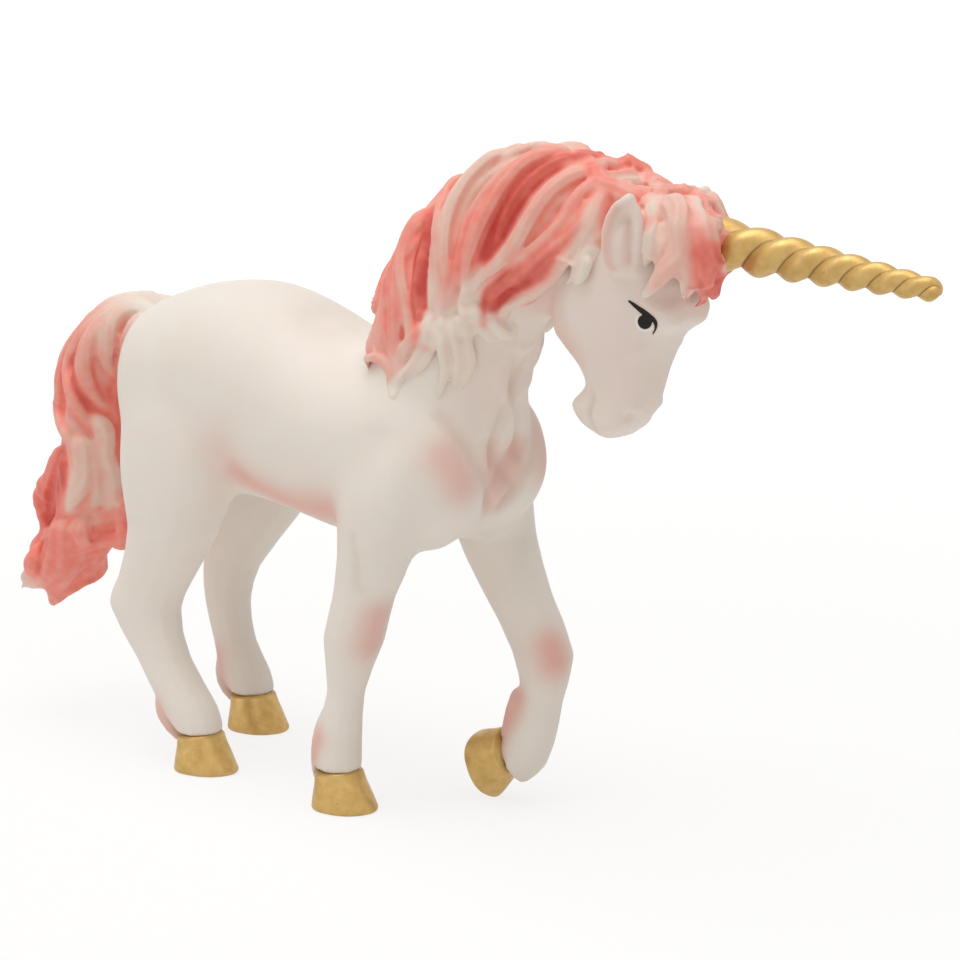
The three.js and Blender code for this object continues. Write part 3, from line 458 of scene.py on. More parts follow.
def merged_copy(*names):
    """CAD nodes as one bmesh with their triangles joined."""
    bm = bmesh.new()
    for name in names:
        bm.from_mesh(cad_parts[name].data)
    bmesh.ops.remove_doubles(bm, verts=bm.verts, dist=WELD)
    bm.normal_update()
    return bm


def as_mesh(bm, name):
    """A bmesh written to a mesh and freed."""
    mesh = bpy.data.meshes.new(name)
    bm.to_mesh(mesh)
    bm.free()
    return mesh


def opened(*meshes):
    """Meshes read into one bmesh."""
    bm = bmesh.new()
    for mesh in meshes:
        bm.from_mesh(mesh)
    return bm


def voxels(size):
    """A modifier that draws a mesh into one shell of even grain."""
    return "REMESH", {"mode": "VOXEL", "voxel_size": size}


def smoothing(rounds, **more):
    """A modifier that smooths a mesh in so many rounds."""
    return "SMOOTH", {"factor": 0.5, "iterations": rounds, **more}


def modified(mesh, *modifiers, groups=None):
    """The mesh after modifiers, each given as its type and settings; groups hold weights in tenths."""
    work = bpy.data.objects.new(mesh.name, mesh)
    for name, weights in (groups or {}).items():
        group = work.vertex_groups.new(name=name)
        for tenths in range(1, 11):
            chosen = np.nonzero(np.round(weights * 10) == tenths)[0]
            if len(chosen):
                group.add(chosen.tolist(), tenths / 10, "REPLACE")
    bpy.context.scene.collection.objects.link(work)
    for kind, settings in modifiers:
        modifier = work.modifiers.new(kind, kind)
        for key, value in settings.items():
            setattr(modifier, key, value)
    graph = bpy.context.evaluated_depsgraph_get()
    done = bpy.data.meshes.new_from_object(work.evaluated_get(graph), depsgraph=graph)
    bpy.data.objects.remove(work)
    bpy.data.meshes.remove(mesh)
    return done


def places_of(mesh):
    """Vertex places of a mesh as an array."""
    places = np.empty(len(mesh.vertices) * 3, np.float32)
    mesh.vertices.foreach_get("co", places)
    return places.reshape(-1, 3).astype(float)


def normals_of(mesh):
    """Vertex normals of a mesh as an array."""
    normals = np.empty(len(mesh.vertices) * 3, np.float32)
    mesh.vertex_normals.foreach_get("vector", normals)
    return normals.reshape(-1, 3).astype(float)


def set_places(mesh, places):
    """Moves the vertices of a mesh."""
    mesh.vertices.foreach_set("co", places.astype(np.float32).ravel())
    mesh.update()


def set_attribute(mesh, name, values):
    """Keeps one number for each vertex, for the paint to read."""
    layer = mesh.attributes.new(name, "FLOAT", "POINT")
    layer.data.foreach_set("value", values.astype(np.float32))


def tree_of(*meshes):
    """A search tree over meshes together."""
    bm = opened(*meshes)
    tree = BVHTree.FromBMesh(bm)
    bm.free()
    return tree


def islands(bm):
    """Groups of joined vertices, largest first."""
    left = set(bm.verts)
    groups = []
    while left:
        start = left.pop()
        group = [start]
        for vert in group:
            for edge in vert.link_edges:
                other = edge.other_vert(vert)
                if other in left:
                    left.discard(other)
                    group.append(other)
        groups.append(group)
    return sorted(groups, key=len, reverse=True)


def main_island(mesh):
    """Takes away all but the largest shell of a mesh."""
    bm = opened(mesh)
    for group in islands(bm)[1:]:
        bmesh.ops.delete(bm, geom=group, context="VERTS")
    bm.to_mesh(mesh)
    bm.free()


def add_piece(name, mesh, material, slot, *nodes):
    """A finished piece of the figure: it rides on the root and stands for CAD nodes."""
    if not mesh.polygons:
        raise RuntimeError(f"{name} has no faces")
    mesh.materials.clear()
    mesh.materials.append(material)
    mesh.polygons.foreach_set("material_index", [0] * len(mesh.polygons))
    piece = bpy.data.objects.new(name, mesh)
    bpy.context.scene.collection.objects.link(piece)
    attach(piece, "root")
    if nodes:
        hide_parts(*nodes)
    return piece


def smooth_step(values, low, high):
    """0 below low, 1 above high, and an even rise between them."""
    share = np.clip((values - low) / (high - low), 0, 1)
    return share * share * (3 - 2 * share)


def along_route(places, route):
    """How far each place is from a polyline, and how far along it its nearest point is, from 0 to 1."""
    nearest = np.full(len(places), np.inf)
    share = np.zeros(len(places))
    last = len(route) - 1
    for i in range(last):
        along = route[i + 1] - route[i]
        part = np.clip((places - route[i]) @ along / max(along @ along, 1e-18), 0, 1)
        gap = np.linalg.norm(places - (route[i] + part[:, None] * along), axis=1)
        closer = gap < nearest
        nearest[closer] = gap[closer]
        share[closer] = (i + part[closer]) / last
    return nearest, share


# Points of a curve between two of the points that it runs through
CURVE_STEPS = 12


def flowing(points, count):
    """Evenly spaced points on a smooth curve through a few points."""
    points = np.asarray(points, float)
    padded = np.vstack([2 * points[0] - points[1], points, 2 * points[-1] - points[-2]])
    fine = []
    for i in range(len(points) - 1):
        p0, p1, p2, p3 = padded[i : i + 4]
        for t in np.linspace(0, 1, CURVE_STEPS, endpoint=False):
            fine.append(
                0.5
                * (
                    2 * p1
                    + (p2 - p0) * t
                    + (2 * p0 - 5 * p1 + 4 * p2 - p3) * t * t
                    + (3 * p1 - p0 - 3 * p2 + p3) * t**3
                )
            )
    fine.append(points[-1])
    fine = np.array(fine)
    run = np.concatenate([[0], np.cumsum(np.linalg.norm(np.diff(fine, axis=0), axis=1))])
    even = np.linspace(0, run[-1], count)
    return np.stack([np.interp(even, run, fine[:, k]) for k in range(3)], axis=1)


def unit(vectors):
    """Vectors of length one."""
    return vectors / np.maximum(np.linalg.norm(vectors, axis=-1, keepdims=True), 1e-12)


def mirror_y(points):
    """Points on the other side of the figure's middle plane."""
    return np.asarray(points) * np.array([1.0, -1.0, 1.0])


def within_box(places, room=0.05 * MM, soft=1.2 * MM):
    """Eases places that stand out of the CAD box back into it."""
    low = np.array(CAD_BOX[0]) + room
    high = np.array(CAD_BOX[1]) - room
    over = np.maximum(places - (high - soft), 0)
    under = np.maximum((low + soft) - places, 0)
    places = np.where(over > 0, high - soft + soft * np.tanh(over / soft), places)
    return np.where(under > 0, low + soft - soft * np.tanh(under / soft), places)


# Strands

# Steps round a strand and along it, rounds of evening, and the steps at each end that follow their neighbours
STRAND_ROUND = 28
STRAND_STEPS = 36
STRAND_EVENING = 8
END_STEPS = 3

# How far a strand may leave the form that carries it
LAID_REACH = 0.8 * MM

# A strand's section: flutes, their depth, thickness from the half width, and the lean of its front edge
FLUTES = 7
FLUTE_DEPTH = 0.1
THICK_SHARE = 0.7
THICK_LEAST = 0.2
LEAN = 0.22

# Its run, in shares: fullness at the very root and tip, ends of root and taper, and how the tip sinks in mm
ROOT_FULL = 0.05
ROOT_SHARE = 0.1
TIP_FULL = 0.2
TAPER_SHARE = 0.5
TAPER_POWER = 0.7
TIP_SHARE = 0.7
TIP_SINK = 0.45


def evened(values):
    """A row of values with its jumps drawn out; the ends stay."""
    values = np.array(values, float)
    for _ in range(STRAND_EVENING):
        values[1:-1] = (values[:-2] + 2 * values[1:-1] + values[2:]) / 4
    return values


def laid_strands(tree, route):
    """A pixel route laid on the form beneath it, then its likeness on the left: points, normals, hand."""
    flat = flowing([(u, v, 0.0) for u, v in route], STRAND_STEPS + 1)
    found = [seen(tree, u, v) for u, v, _ in flat]
    place = np.array(pixel_ray(0, 0)[0])
    rays = np.array([pixel_ray(u, v)[1] for u, v, _ in flat])
    depth = evened([(np.array(point) - place) @ ray for (point, _), ray in zip(found, rays)])
    points = place + rays * depth[:, None]
    for i, point in enumerate(points):
        near, _, _, gap = tree.find_nearest(Vector(point))
        if gap > LAID_REACH:
            points[i] = np.array(near) + (point - np.array(near)) * (LAID_REACH / gap)
    normals = evened(turned_to(-rays, [normal for _, normal in found]))
    yield points, normals, 1
    snapped = [tree.find_nearest(Vector(point))[:2] for point in mirror_y(points)]
    likeness = evened([point for point, _ in snapped])
    yield likeness, evened(turned_to(mirror_y(normals), [normal for _, normal in snapped])), -1


def turned_to(sides, normals):
    """Normals that each face the given side; the ends take after their neighbours."""
    normals = np.array(normals, float)
    away = np.sum(normals * sides, axis=1) < 0
    normals[away] *= -1
    normals[:END_STEPS] = normals[END_STEPS]
    normals[-END_STEPS:] = normals[-END_STEPS - 1]
    return normals


def strand_girth(share):
    """How full a strand is along its run: a short root, then a long taper to a blunt point."""
    root = math.sqrt(min(1.0, ROOT_FULL + share / ROOT_SHARE))
    return root * (TIP_FULL + (1 - TIP_FULL) * min(1.0, (1 - share) / TAPER_SHARE) ** TAPER_POWER)


def add_strand(bm, points, normals, half_width, lift, hand):
    """One fluted strand: a grid rolled round its route, its front edge proud. Returns its middle line."""
    tangent = unit(np.gradient(points, axis=0))
    facing = unit(normals - tangent * np.sum(normals * tangent, axis=1, keepdims=True))
    side = np.cross(tangent, facing) * hand
    shares = np.linspace(0, 1, STRAND_STEPS + 1)
    girths = np.array([strand_girth(share) for share in shares])
    rise = lift * girths - TIP_SINK * smooth_step(shares, TIP_SHARE, 1.0)
    middle = points + facing * (rise * MM)[:, None]
    thick = THICK_SHARE * half_width + THICK_LEAST
    made = bmesh.ops.create_grid(bm, x_segments=STRAND_ROUND, y_segments=STRAND_STEPS, size=1.0)["verts"]
    for vert in made:
        turn = (vert.co.x + 1) / 2 * math.tau
        step = round((vert.co.y + 1) / 2 * STRAND_STEPS)
        girth = girths[step] * (1 + FLUTE_DEPTH * math.cos(FLUTES * turn)) * MM
        across = half_width * girth * math.cos(turn)
        out = thick * girth * math.sin(turn) - LEAN * across
        vert.co = middle[step] + side[step] * across + facing[step] * out
    bmesh.ops.remove_doubles(bm, verts=made, dist=WELD)
    return middle


# Materials

# Places of the sockets of a colour mix, which has several of one name
MIX_SHARE = 0
MIX_FIRST = 6
MIX_SECOND = 7
MIX_COLOUR = 2

# How far red, green and blue light spreads in the vinyl
SUBSURFACE_REACH = (0.0022, 0.0014, 0.0009)


def add_node(tree, kind, settings=None, inputs=None):
    """A node with its settings; an input is a value, or a socket to link from."""
    made = tree.nodes.new(kind)
    for key, value in (settings or {}).items():
        setattr(made, key, value)
    for key, value in (inputs or {}).items():
        if isinstance(value, bpy.types.NodeSocket):
            tree.links.new(value, made.inputs[key])
        else:
            made.inputs[key].default_value = value
    return made


def new_material(name):
    """A material with an empty principled surface, its tree and that surface."""
    material = bpy.data.materials.new(name)
    material.use_nodes = True
    tree = material.node_tree
    return material, tree, tree.nodes["Principled BSDF"]


def rgba(colour):
    """A colour with full cover."""
    return (*colour[:3], 1.0)


def link_paint(tree, surface, colour, roughness, normal):
    """Gives a surface its colour, roughness and relief."""
    for name, socket in (("Base Color", colour), ("Roughness", roughness), ("Normal", normal)):
        tree.links.new(socket, surface.inputs[name])


def set_vinyl(surface, glow):
    """Gives a surface the gloss of matte paint on vinyl, and a little light within."""
    surface.inputs["IOR"].default_value = 1.5
    surface.inputs["Specular IOR Level"].default_value = 0.35
    surface.inputs["Subsurface Weight"].default_value = glow
    surface.inputs["Subsurface Radius"].default_value = SUBSURFACE_REACH
    surface.inputs["Subsurface Scale"].default_value = 1.0


def white_vinyl():
    """Moulded vinyl under matte cream paint: soft sheen, faint mottle, painted shade in the narrow creases,
    pink airbrushed in.
    """
    skin = bpy.context.scene.figurine_skin
    material, tree, surface = new_material("cream_painted_vinyl")
    place = add_node(tree, "ShaderNodeTexCoord").outputs["Object"]
    mottle, grain = (
        add_node(tree, "ShaderNodeTexNoise", None, {"Vector": place, "Scale": 1 / (size * MM)}).outputs["Fac"]
        for size in (6, 0.5)
    )
    # Painted shade: beige mixed into the cream along the narrow creases
    crease_shade = add_node(tree, "ShaderNodeAttribute", {"attribute_name": "crease_shade"}).outputs["Fac"]
    blush = add_node(tree, "ShaderNodeAttribute", {"attribute_name": "blush"}).outputs["Fac"]
    colour = rgba(skin.cream)
    for share, coat in ((mottle, skin.warm), (crease_shade, skin.shade), (blush, skin.blush)):
        colour = add_node(
            tree,
            "ShaderNodeMix",
            {"data_type": "RGBA"},
            {MIX_SHARE: share, MIX_FIRST: colour, MIX_SECOND: rgba(coat)},
        ).outputs[MIX_COLOUR]
    sheen = add_node(
        tree, "ShaderNodeMapRange", None, {"Value": grain, "To Min": 0.46, "To Max": 0.64}
    ).outputs["Result"]
    relief = add_node(
        tree, "ShaderNodeBump", None, {"Height": grain, "Strength": 0.12, "Distance": 0.05 * MM}
    ).outputs["Normal"]
    link_paint(tree, surface, colour, sheen, relief)
    set_vinyl(surface, 0.08)
    return material


def pink_vinyl():
    """Moulded vinyl hair in pale pink to red by strand, with painted highlight on the ridges and painted
    shade in the channels, and cream tips.
    """
    hair = bpy.context.scene.figurine_hair
    material, tree, surface = new_material("pink_vinyl_painted_ridge_light")
    place = add_node(tree, "ShaderNodeTexCoord").outputs["Object"]
    brushed, grain = (
        add_node(tree, "ShaderNodeTexNoise", None, {"Vector": place, "Scale": 1 / (size * MM)}).outputs["Fac"]
        for size in (1.8, 0.5)
    )
    uneven = add_node(
        tree, "ShaderNodeMapRange", None, {"Value": brushed, "To Min": -0.16, "To Max": 0.16}
    ).outputs["Result"]
    carried = add_node(tree, "ShaderNodeAttribute", {"attribute_name": "tone"}).outputs["Fac"]
    tone = add_node(tree, "ShaderNodeMath", {"operation": "ADD"}, {0: carried, 1: uneven}).outputs[0]
    ramp = add_node(tree, "ShaderNodeValToRGB", None, {"Fac": tone})
    pale, deep = ramp.color_ramp.elements
    pale.color = rgba(hair.pale)
    pale.position = 0.08
    deep.color = rgba(hair.deep)
    ramp.color_ramp.elements.new(0.5).color = rgba(hair.salmon)
    white = add_node(tree, "ShaderNodeAttribute", {"attribute_name": "white"}).outputs["Fac"]
    tipped = add_node(
        tree,
        "ShaderNodeMix",
        {"data_type": "RGBA"},
        {MIX_SHARE: white, MIX_FIRST: ramp.outputs["Color"], MIX_SECOND: rgba(hair.tip)},
    ).outputs[MIX_COLOUR]
    sheen = add_node(
        tree, "ShaderNodeMapRange", None, {"Value": brushed, "To Min": 0.44, "To Max": 0.62}
    ).outputs["Result"]
    relief = add_node(
        tree, "ShaderNodeBump", None, {"Height": grain, "Strength": 0.12, "Distance": 0.05 * MM}
    ).outputs["Normal"]
    link_paint(tree, surface, tipped, sheen, relief)
    set_vinyl(surface, 0.06)
    return material


def gold_paint():
    """Metallic gold paint brushed over vinyl: half glossy, with painted shade in the grooves, scuffed through
    in spots.
    """
    gilt = bpy.context.scene.figurine_gilt
    material, tree, surface = new_material("brushed_gold_paint")
    place = add_node(tree, "ShaderNodeTexCoord").outputs["Object"]
    patch, speck, brush = (
        add_node(
            tree, "ShaderNodeTexNoise", None, {"Vector": place, "Scale": 1 / (size * MM), "Detail": detail}
        ).outputs["Fac"]
        for size, detail in ((1.5, 2.0), (0.7, 6.0), (0.35, 4.0))
    )
    uneven = add_node(
        tree, "ShaderNodeMapRange", None, {"Value": patch, "From Min": 0.35, "From Max": 0.75, "To Max": 0.45}
    ).outputs["Result"]
    scuff = add_node(
        tree, "ShaderNodeMapRange", None, {"Value": speck, "From Min": 0.68, "From Max": 0.8}
    ).outputs["Result"]
    # Painted shade in the horn's groove, on the hoof's ledge and on its sole
    groove_shade = add_node(tree, "ShaderNodeAttribute", {"attribute_name": "groove_shade"}).outputs["Fac"]
    colour = rgba(gilt.gold)
    for share, coat in ((uneven, gilt.bronze), (scuff, gilt.scuff), (groove_shade, gilt.shade_umber)):
        colour = add_node(
            tree,
            "ShaderNodeMix",
            {"data_type": "RGBA"},
            {MIX_SHARE: share, MIX_FIRST: colour, MIX_SECOND: rgba(coat)},
        ).outputs[MIX_COLOUR]
    sheen = add_node(
        tree,
        "ShaderNodeMapRange",
        None,
        {"Value": patch, "From Min": 0.3, "From Max": 0.7, "To Min": 0.34, "To Max": 0.5},
    ).outputs["Result"]
    relief = add_node(
        tree, "ShaderNodeBump", None, {"Height": brush, "Strength": 0.22, "Distance": 0.05 * MM}
    ).outputs["Normal"]
    link_paint(tree, surface, colour, sheen, relief)
    surface.inputs["Metallic"].default_value = 0.65
    return material


def eye_enamel(name, first, second):
    """Glossy enamel of an eye's dots and strokes, a little cloudy."""
    material, tree, surface = new_material(name)
    place = add_node(tree, "ShaderNodeTexCoord").outputs["Object"]
    cloud = add_node(
        tree, "ShaderNodeTexNoise", None, {"Vector": place, "Scale": 1 / (0.8 * MM)}
    ).outputs["Fac"]
    colour = add_node(
        tree,
        "ShaderNodeMix",
        {"data_type": "RGBA"},
        {MIX_SHARE: cloud, MIX_FIRST: rgba(first), MIX_SECOND: rgba(second)},
    ).outputs[MIX_COLOUR]
    sheen = add_node(
        tree, "ShaderNodeMapRange", None, {"Value": cloud, "To Min": 0.25, "To Max": 0.45}
    ).outputs["Result"]
    tree.links.new(colour, surface.inputs["Base Color"])
    tree.links.new(sheen, surface.inputs["Roughness"])
    surface.inputs["Specular IOR Level"].default_value = 0.2
    return material


# Skin

# Points along a sculpted line and along a spray of pink
LINE_POINTS = 16
SPRAY_POINTS = 12

# Lines narrower than this, in mm, are creases that get painted shade: its share of their depth, and the most
WIDEST_CREASE = 1.5
CREASE_SHADE_SHARE = 0.5
CREASE_SHADE_MOST = 0.4

# Where the head begins, ahead of the throat and in height, and the trunk's lower edge, in mm
HEAD_AHEAD = (-1, 4)
HEAD_HEIGHT = (52, 55)
TRUNK_HEIGHT = (33, 46)
TRUNK_ROUNDS = 160
SKIN_ROUNDS = 8

# The swelling is taken back in full above these heights, and by this share below them
DRAWN_LEAST = 0.3
DRAWN_HEIGHT = (18 * MM, 34 * MM)


def skin_form():
    """The white mouldings drawn into one smooth skin."""
    bm = bmesh.new()
    for name in SKIN_NODES:
        part = merged_copy(name)
        for vert in part.verts:
            vert.co += vert.normal * SWELL
        mesh = as_mesh(part, name)
        bm.from_mesh(mesh)
        bpy.data.meshes.remove(mesh)
    carrier = BVHTree.FromBMesh(bm)
    for route, half_width, lift in EAR_LEAF:
        for points, normals, hand in laid_strands(carrier, route):
            add_strand(bm, points, normals, half_width, lift, hand)
    bmesh.ops.recalc_face_normals(bm, faces=bm.faces)
    voxel = bpy.context.scene.figurine_skin.voxel
    mesh = modified(as_mesh(bm, "skin"), voxels(voxel))
    main_island(mesh)
    return mesh


def smoothed_skin(mesh):
    """Evens out the joins between the forms: strongly on the trunk, less on legs and head."""
    places = places_of(mesh) / MM
    ahead = places @ np.array(THROAT_NORMAL) - np.array(THROAT / MM) @ np.array(THROAT_NORMAL)
    on_head = smooth_step(ahead, *HEAD_AHEAD) * smooth_step(places[:, 2], *HEAD_HEIGHT)
    on_trunk = smooth_step(places[:, 2], *TRUNK_HEIGHT) * (1 - on_head)
    on_trunk_more = smoothing(TRUNK_ROUNDS, vertex_group="trunk")
    return modified(mesh, on_trunk_more, smoothing(SKIN_ROUNDS), groups={"trunk": on_trunk})


def sculpt(mesh):
    """Presses the lines and spots into the skin on both flanks. Returns how deep its narrow creases are."""
    places = places_of(mesh)
    normals = normals_of(mesh)
    tree = tree_of(mesh)
    rise = np.zeros(len(places))
    crease = np.zeros(len(places))
    for route, width, height in SCULPTED_LINES:
        points = [np.array(seen(tree, u, v)[0]) for u, v in route]
        for side in (points, mirror_y(points)):
            line = flowing(side, LINE_POINTS)
            pressed = height * np.exp(-((along_route(places, line)[0] / (width * MM)) ** 2))
            rise += pressed
            if width < WIDEST_CREASE:
                crease -= pressed
    for (u, v), width, height in SCULPTED_SPOTS:
        point = np.array(seen(tree, u, v)[0])
        for spot in (point, mirror_y(point)):
            rise += height * np.exp(-((np.linalg.norm(places - spot, axis=1) / (width * MM)) ** 2))
    set_places(mesh, places + normals * (rise * MM)[:, None])
    return crease


def paint_skin(mesh, crease):
    """Airbrush pink and the painted shade in the creases, as numbers on the vertices."""
    places = places_of(mesh)
    tree = tree_of(mesh)
    sprays = []
    for route, radius, strength in BLUSHES + LEG_BLUSHES:
        sprays.append(([np.array(seen(tree, u, v)[0]) for u, v in route], radius, strength))
    for points, radius, strength in sprays[: len(BLUSHES)]:
        sprays.append((mirror_y(points), radius, strength))
    blush = np.zeros(len(places))
    for points, radius, strength in sprays:
        reach = along_route(places, flowing(points, SPRAY_POINTS))[0] / (radius * MM)
        blush = np.maximum(blush, strength * np.exp(-(reach**2)))
    set_attribute(mesh, "blush", blush)
    # Painted shade in the creases, from their depth
    set_attribute(mesh, "crease_shade", np.clip(crease * CREASE_SHADE_SHARE, 0, CREASE_SHADE_MOST))


def part_skin(mesh):
    """Cuts the skin into the mouldings, each closed and with the normals of the whole."""
    normals = normals_of(mesh)
    bm = opened(mesh)
    kept = bm.verts.layers.float_vector.new("whole_normal")
    for vert, normal in zip(bm.verts, normals):
        vert[kept] = normal
    everything = bm.verts[:] + bm.edges[:] + bm.faces[:]
    low = bmesh.ops.bisect_plane(bm, geom=everything, plane_co=(0, 0, LEG_JOINT_Z), plane_no=(0, 0, 1))
    seams = [e for e in low["geom_cut"] if isinstance(e, bmesh.types.BMEdge)]
    bmesh.ops.split_edges(bm, edges=seams)
    faces = [f for f in bm.faces if f.calc_center_median().z > THROAT_LOWEST_Z]
    near = set(faces)
    for face in faces:
        near.update(face.edges)
        near.update(face.verts)
    throat = bmesh.ops.bisect_plane(bm, geom=list(near), plane_co=THROAT, plane_no=THROAT_NORMAL)
    seams = [e for e in throat["geom_cut"] if isinstance(e, bmesh.types.BMEdge)]
    bmesh.ops.split_edges(bm, edges=seams)
    parts = {}
    for group in islands(bm)[: len(SKIN_NODES)]:
        middle = sum((v.co for v in group), Vector()) / len(group)
        name = min(SKIN_NODES, key=lambda node: (sum(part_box(node), Vector()) / 2 - middle).length)
        bm.verts.index_update()
        wanted = {v.index for v in group}
        copy = bm.copy()
        gone = [v for v in copy.verts if v.index not in wanted]
        bmesh.ops.delete(copy, geom=gone, context="VERTS")
        bmesh.ops.holes_fill(copy, edges=[e for e in copy.edges if e.is_boundary], sides=0)
        bmesh.ops.triangulate(copy, faces=[f for f in copy.faces if len(f.verts) > 4])
        layer = copy.verts.layers.float_vector["whole_normal"]
        whole = [tuple(v[layer].normalized()) for v in copy.verts]
        copy.verts.layers.float_vector.remove(layer)
        piece = as_mesh(copy, name)
        piece.shade_smooth()
        piece.normals_split_custom_set_from_vertices(whole)
        parts[name] = piece
    bm.free()
    return parts


class FIGURINE_OT_skin(bpy.types.Operator):
    """Body, head and legs in painted vinyl"""

    bl_idname = "figurine.skin"
    bl_label = "Skin"

    def execute(self, context):
        mesh = smoothed_skin(skin_form())
        places = places_of(mesh)
        drawn_in = DRAWN_LEAST + (1 - DRAWN_LEAST) * smooth_step(places[:, 2], *DRAWN_HEIGHT)
        set_places(mesh, places - normals_of(mesh) * (SWELL * drawn_in)[:, None])
        crease = sculpt(mesh)
        set_places(mesh, within_box(places_of(mesh)))
        paint_skin(mesh, crease)
        SHARED["skin"] = tree_of(mesh)
        material = white_vinyl()
        parts = part_skin(mesh)
        if set(parts) != set(SKIN_NODES):
            raise RuntimeError(f"the skin parted into {sorted(parts)}")
        for name, part in parts.items():
            add_piece(f"skin_{name}", part, material, "white_vinyl", name)
        SHARED["skin_mesh"] = mesh
        return {"FINISHED"}


# Sizes of horn and hooves

# The horn: its root and droop, its length and radii, the shares of it that hide in the brow and round off at
# the tip, how far its strands are from the axis, how its turns tighten, and how far it is eased into the CAD
# box; then the steps round it and along it, and the painted shade in its grooves
HORN_ROOT = Vector((46.89, 0.0, 82.6)) * MM
HORN_DROOP = math.radians(4.9)
HORN_LENGTH = 35.5 * MM
HORN_BASE = 3.7 * MM
HORN_TIP = 1.45 * MM
HORN_HIDDEN = 0.06
HORN_NOSE = 0.045
HORN_APART = 0.27
HORN_TIGHTENING = 0.5
HORN_EASE = 0.4 * MM
HORN_ROUND = 64
HORN_STEPS = 260
GROOVE_WIDTH = 0.16
GROOVE_SHADE = 0.85

# Rings of a hoof: height in mm, share of the way from the sole's outline to the ledge's, inset in mm
HOOF_PROFILE = (
    (0.0, 0.0, 0.3),
    (0.2, 0.0, 0.08),
    (0.5, 0.0, 0.0),
    (1.5, 0.22, 0.0),
    (2.6, 0.5, 0.02),
    (3.6, 0.78, 0.03),
    (4.3, 0.95, 0.0),
    (4.7, 1.0, 0.02),
    (4.95, 1.0, 0.08),
    (5.1, 1.0, 0.22),
    (5.3, 1.0, 0.35),
)
HOOF_ROUND = 48

# The sole's half width, toe and heel, the ledge's radius and both edges of the painted shade, in mm; then the
# ledge's slope and the strength of the painted shade on ledge and sole
HOOF_SOLE = (4.3, 6.1, 3.5)
HOOF_LEDGE = 3.45
HOOF_LINE = 5.05
SOLE_LINE = 0.1
HOOF_SLOPE = 0.07
LEDGE_SHADE = 0.25
SOLE_SHADE = 0.3

# Waves in the worn outline, the range of the four draws for a hoof, of which the first shifts the waves, and
# how far the sole stays off the ground
WEAR_WIDE = 0.012
WEAR_FINE = 0.01
WEAR_DRAWN = 0.06
WEAR_SHIFT = 40
SOLE_GAP = 0.02 * MM

# How far a hoof's middle is behind its toe, and on the bent leg the place of that middle and the pitch
HOOF_TOE = 6.1 * MM
RAISED_SOLE = Vector((5.55, 6.4, 5.75)) * MM
RAISED_PITCH = math.radians(73)


# Hair

# How fast a strand's paint fades beside it, and how many half widths it reaches
PAINT_FADE = 2.2
PAINT_WIDTHS = 2.5

# What no strand covers: its tone and the little weight of that, and, in mm, the height below which it sinks
# into the skin, how far under it goes, and the gap from a strand over which it does
BARE_TONE = 0.55
BARE_WEIGHT = 1e-12
BARE_HEIGHT = 1.8
BARE_SUNK = 0.5
BARE_GAP = (0.5, 1.4)

# The core is drawn in where it stands out of the skin, by this range in mm, then evened in a few rounds
ROOTED = (-0.4, 0.6)
CORE_ROUNDS = 6

# Shares of a strand's run: where its tone turns, where the white root ends and where the white tip begins
TONE_RUN = (0.2, 0.95)
ROOT_RUN = (0.08, 0.4)
TIP_RUN = (0.68, 0.97)

# A ridge is what these rounds of smoothing would take away; it changes the tone within this range, as painted
# highlight on ridges and painted shade in grooves
EVEN_ROUNDS = 20
RIDGE_RANGE = (-0.4, 0.3)

# The front end of the forelock's core, and balls that round the horn's foot as middle and radius, all in mm
# from the horn's root
FORELOCK_END = (0.9, 0.0, 0.0)
COLLARS = (((-1.2, -0.7, -0.4), 4.1), ((0.9, -2.2, -0.4), 3.6))

# How far the tail's core ends before the CAD box does
TAIL_TIP = 3.0 * MM


def above_skin(places):
    """How far each place stands out of the skin in mm, negative inside it, and the skin's normal there."""
    skin = SHARED["skin"]
    heights = np.empty(len(places))
    normals = np.empty((len(places), 3))
    for i, place in enumerate(places):
        point, normal, _, gap = skin.find_nearest(Vector(place))
        heights[i] = math.copysign(gap, (Vector(place) - point).dot(normal)) / MM
        normals[i] = normal
    return heights, normals


def hair_core(name, voxel, closing, rounds, shrink):
    """CAD hair as one smooth core that is rooted in the skin: gaps closed, evened out, drawn in; in mm."""
    bm = merged_copy(name)
    for vert in bm.verts:
        vert.co += vert.normal * closing * MM
    mesh = modified(as_mesh(bm, name), voxels(voxel * MM), smoothing(rounds))
    main_island(mesh)
    places = places_of(mesh)
    outside = smooth_step(above_skin(places)[0], *ROOTED)
    set_places(mesh, places - normals_of(mesh) * ((closing + shrink) * outside * MM)[:, None])
    return modified(mesh, smoothing(CORE_ROUNDS))


def cut_off(mesh, point, direction):
    """Cuts off what lies beyond a plane through the point, and closes the cut."""
    bm = opened(mesh)
    geometry = bm.verts[:] + bm.edges[:] + bm.faces[:]
    bmesh.ops.bisect_plane(bm, geom=geometry, plane_co=point, plane_no=direction, clear_outer=True)
    bmesh.ops.holes_fill(bm, edges=[e for e in bm.edges if e.is_boundary], sides=0)
    bm.to_mesh(mesh)
    bm.free()


def sink_bare(core, laid):
    """Sinks the low parts of the core that no strand covers into the skin."""
    places = places_of(core)
    bare = np.full(len(places), np.inf)
    for line, half_width, _ in laid:
        bare = np.minimum(bare, along_route(places, line)[0] / MM - half_width)
    height, out = above_skin(places)
    low = 1 - smooth_step(height, BARE_HEIGHT, BARE_HEIGHT + 1)
    sink = smooth_step(bare, *BARE_GAP) * low * np.maximum(height + BARE_SUNK, 0)
    set_places(core, places - out * (sink * MM)[:, None])


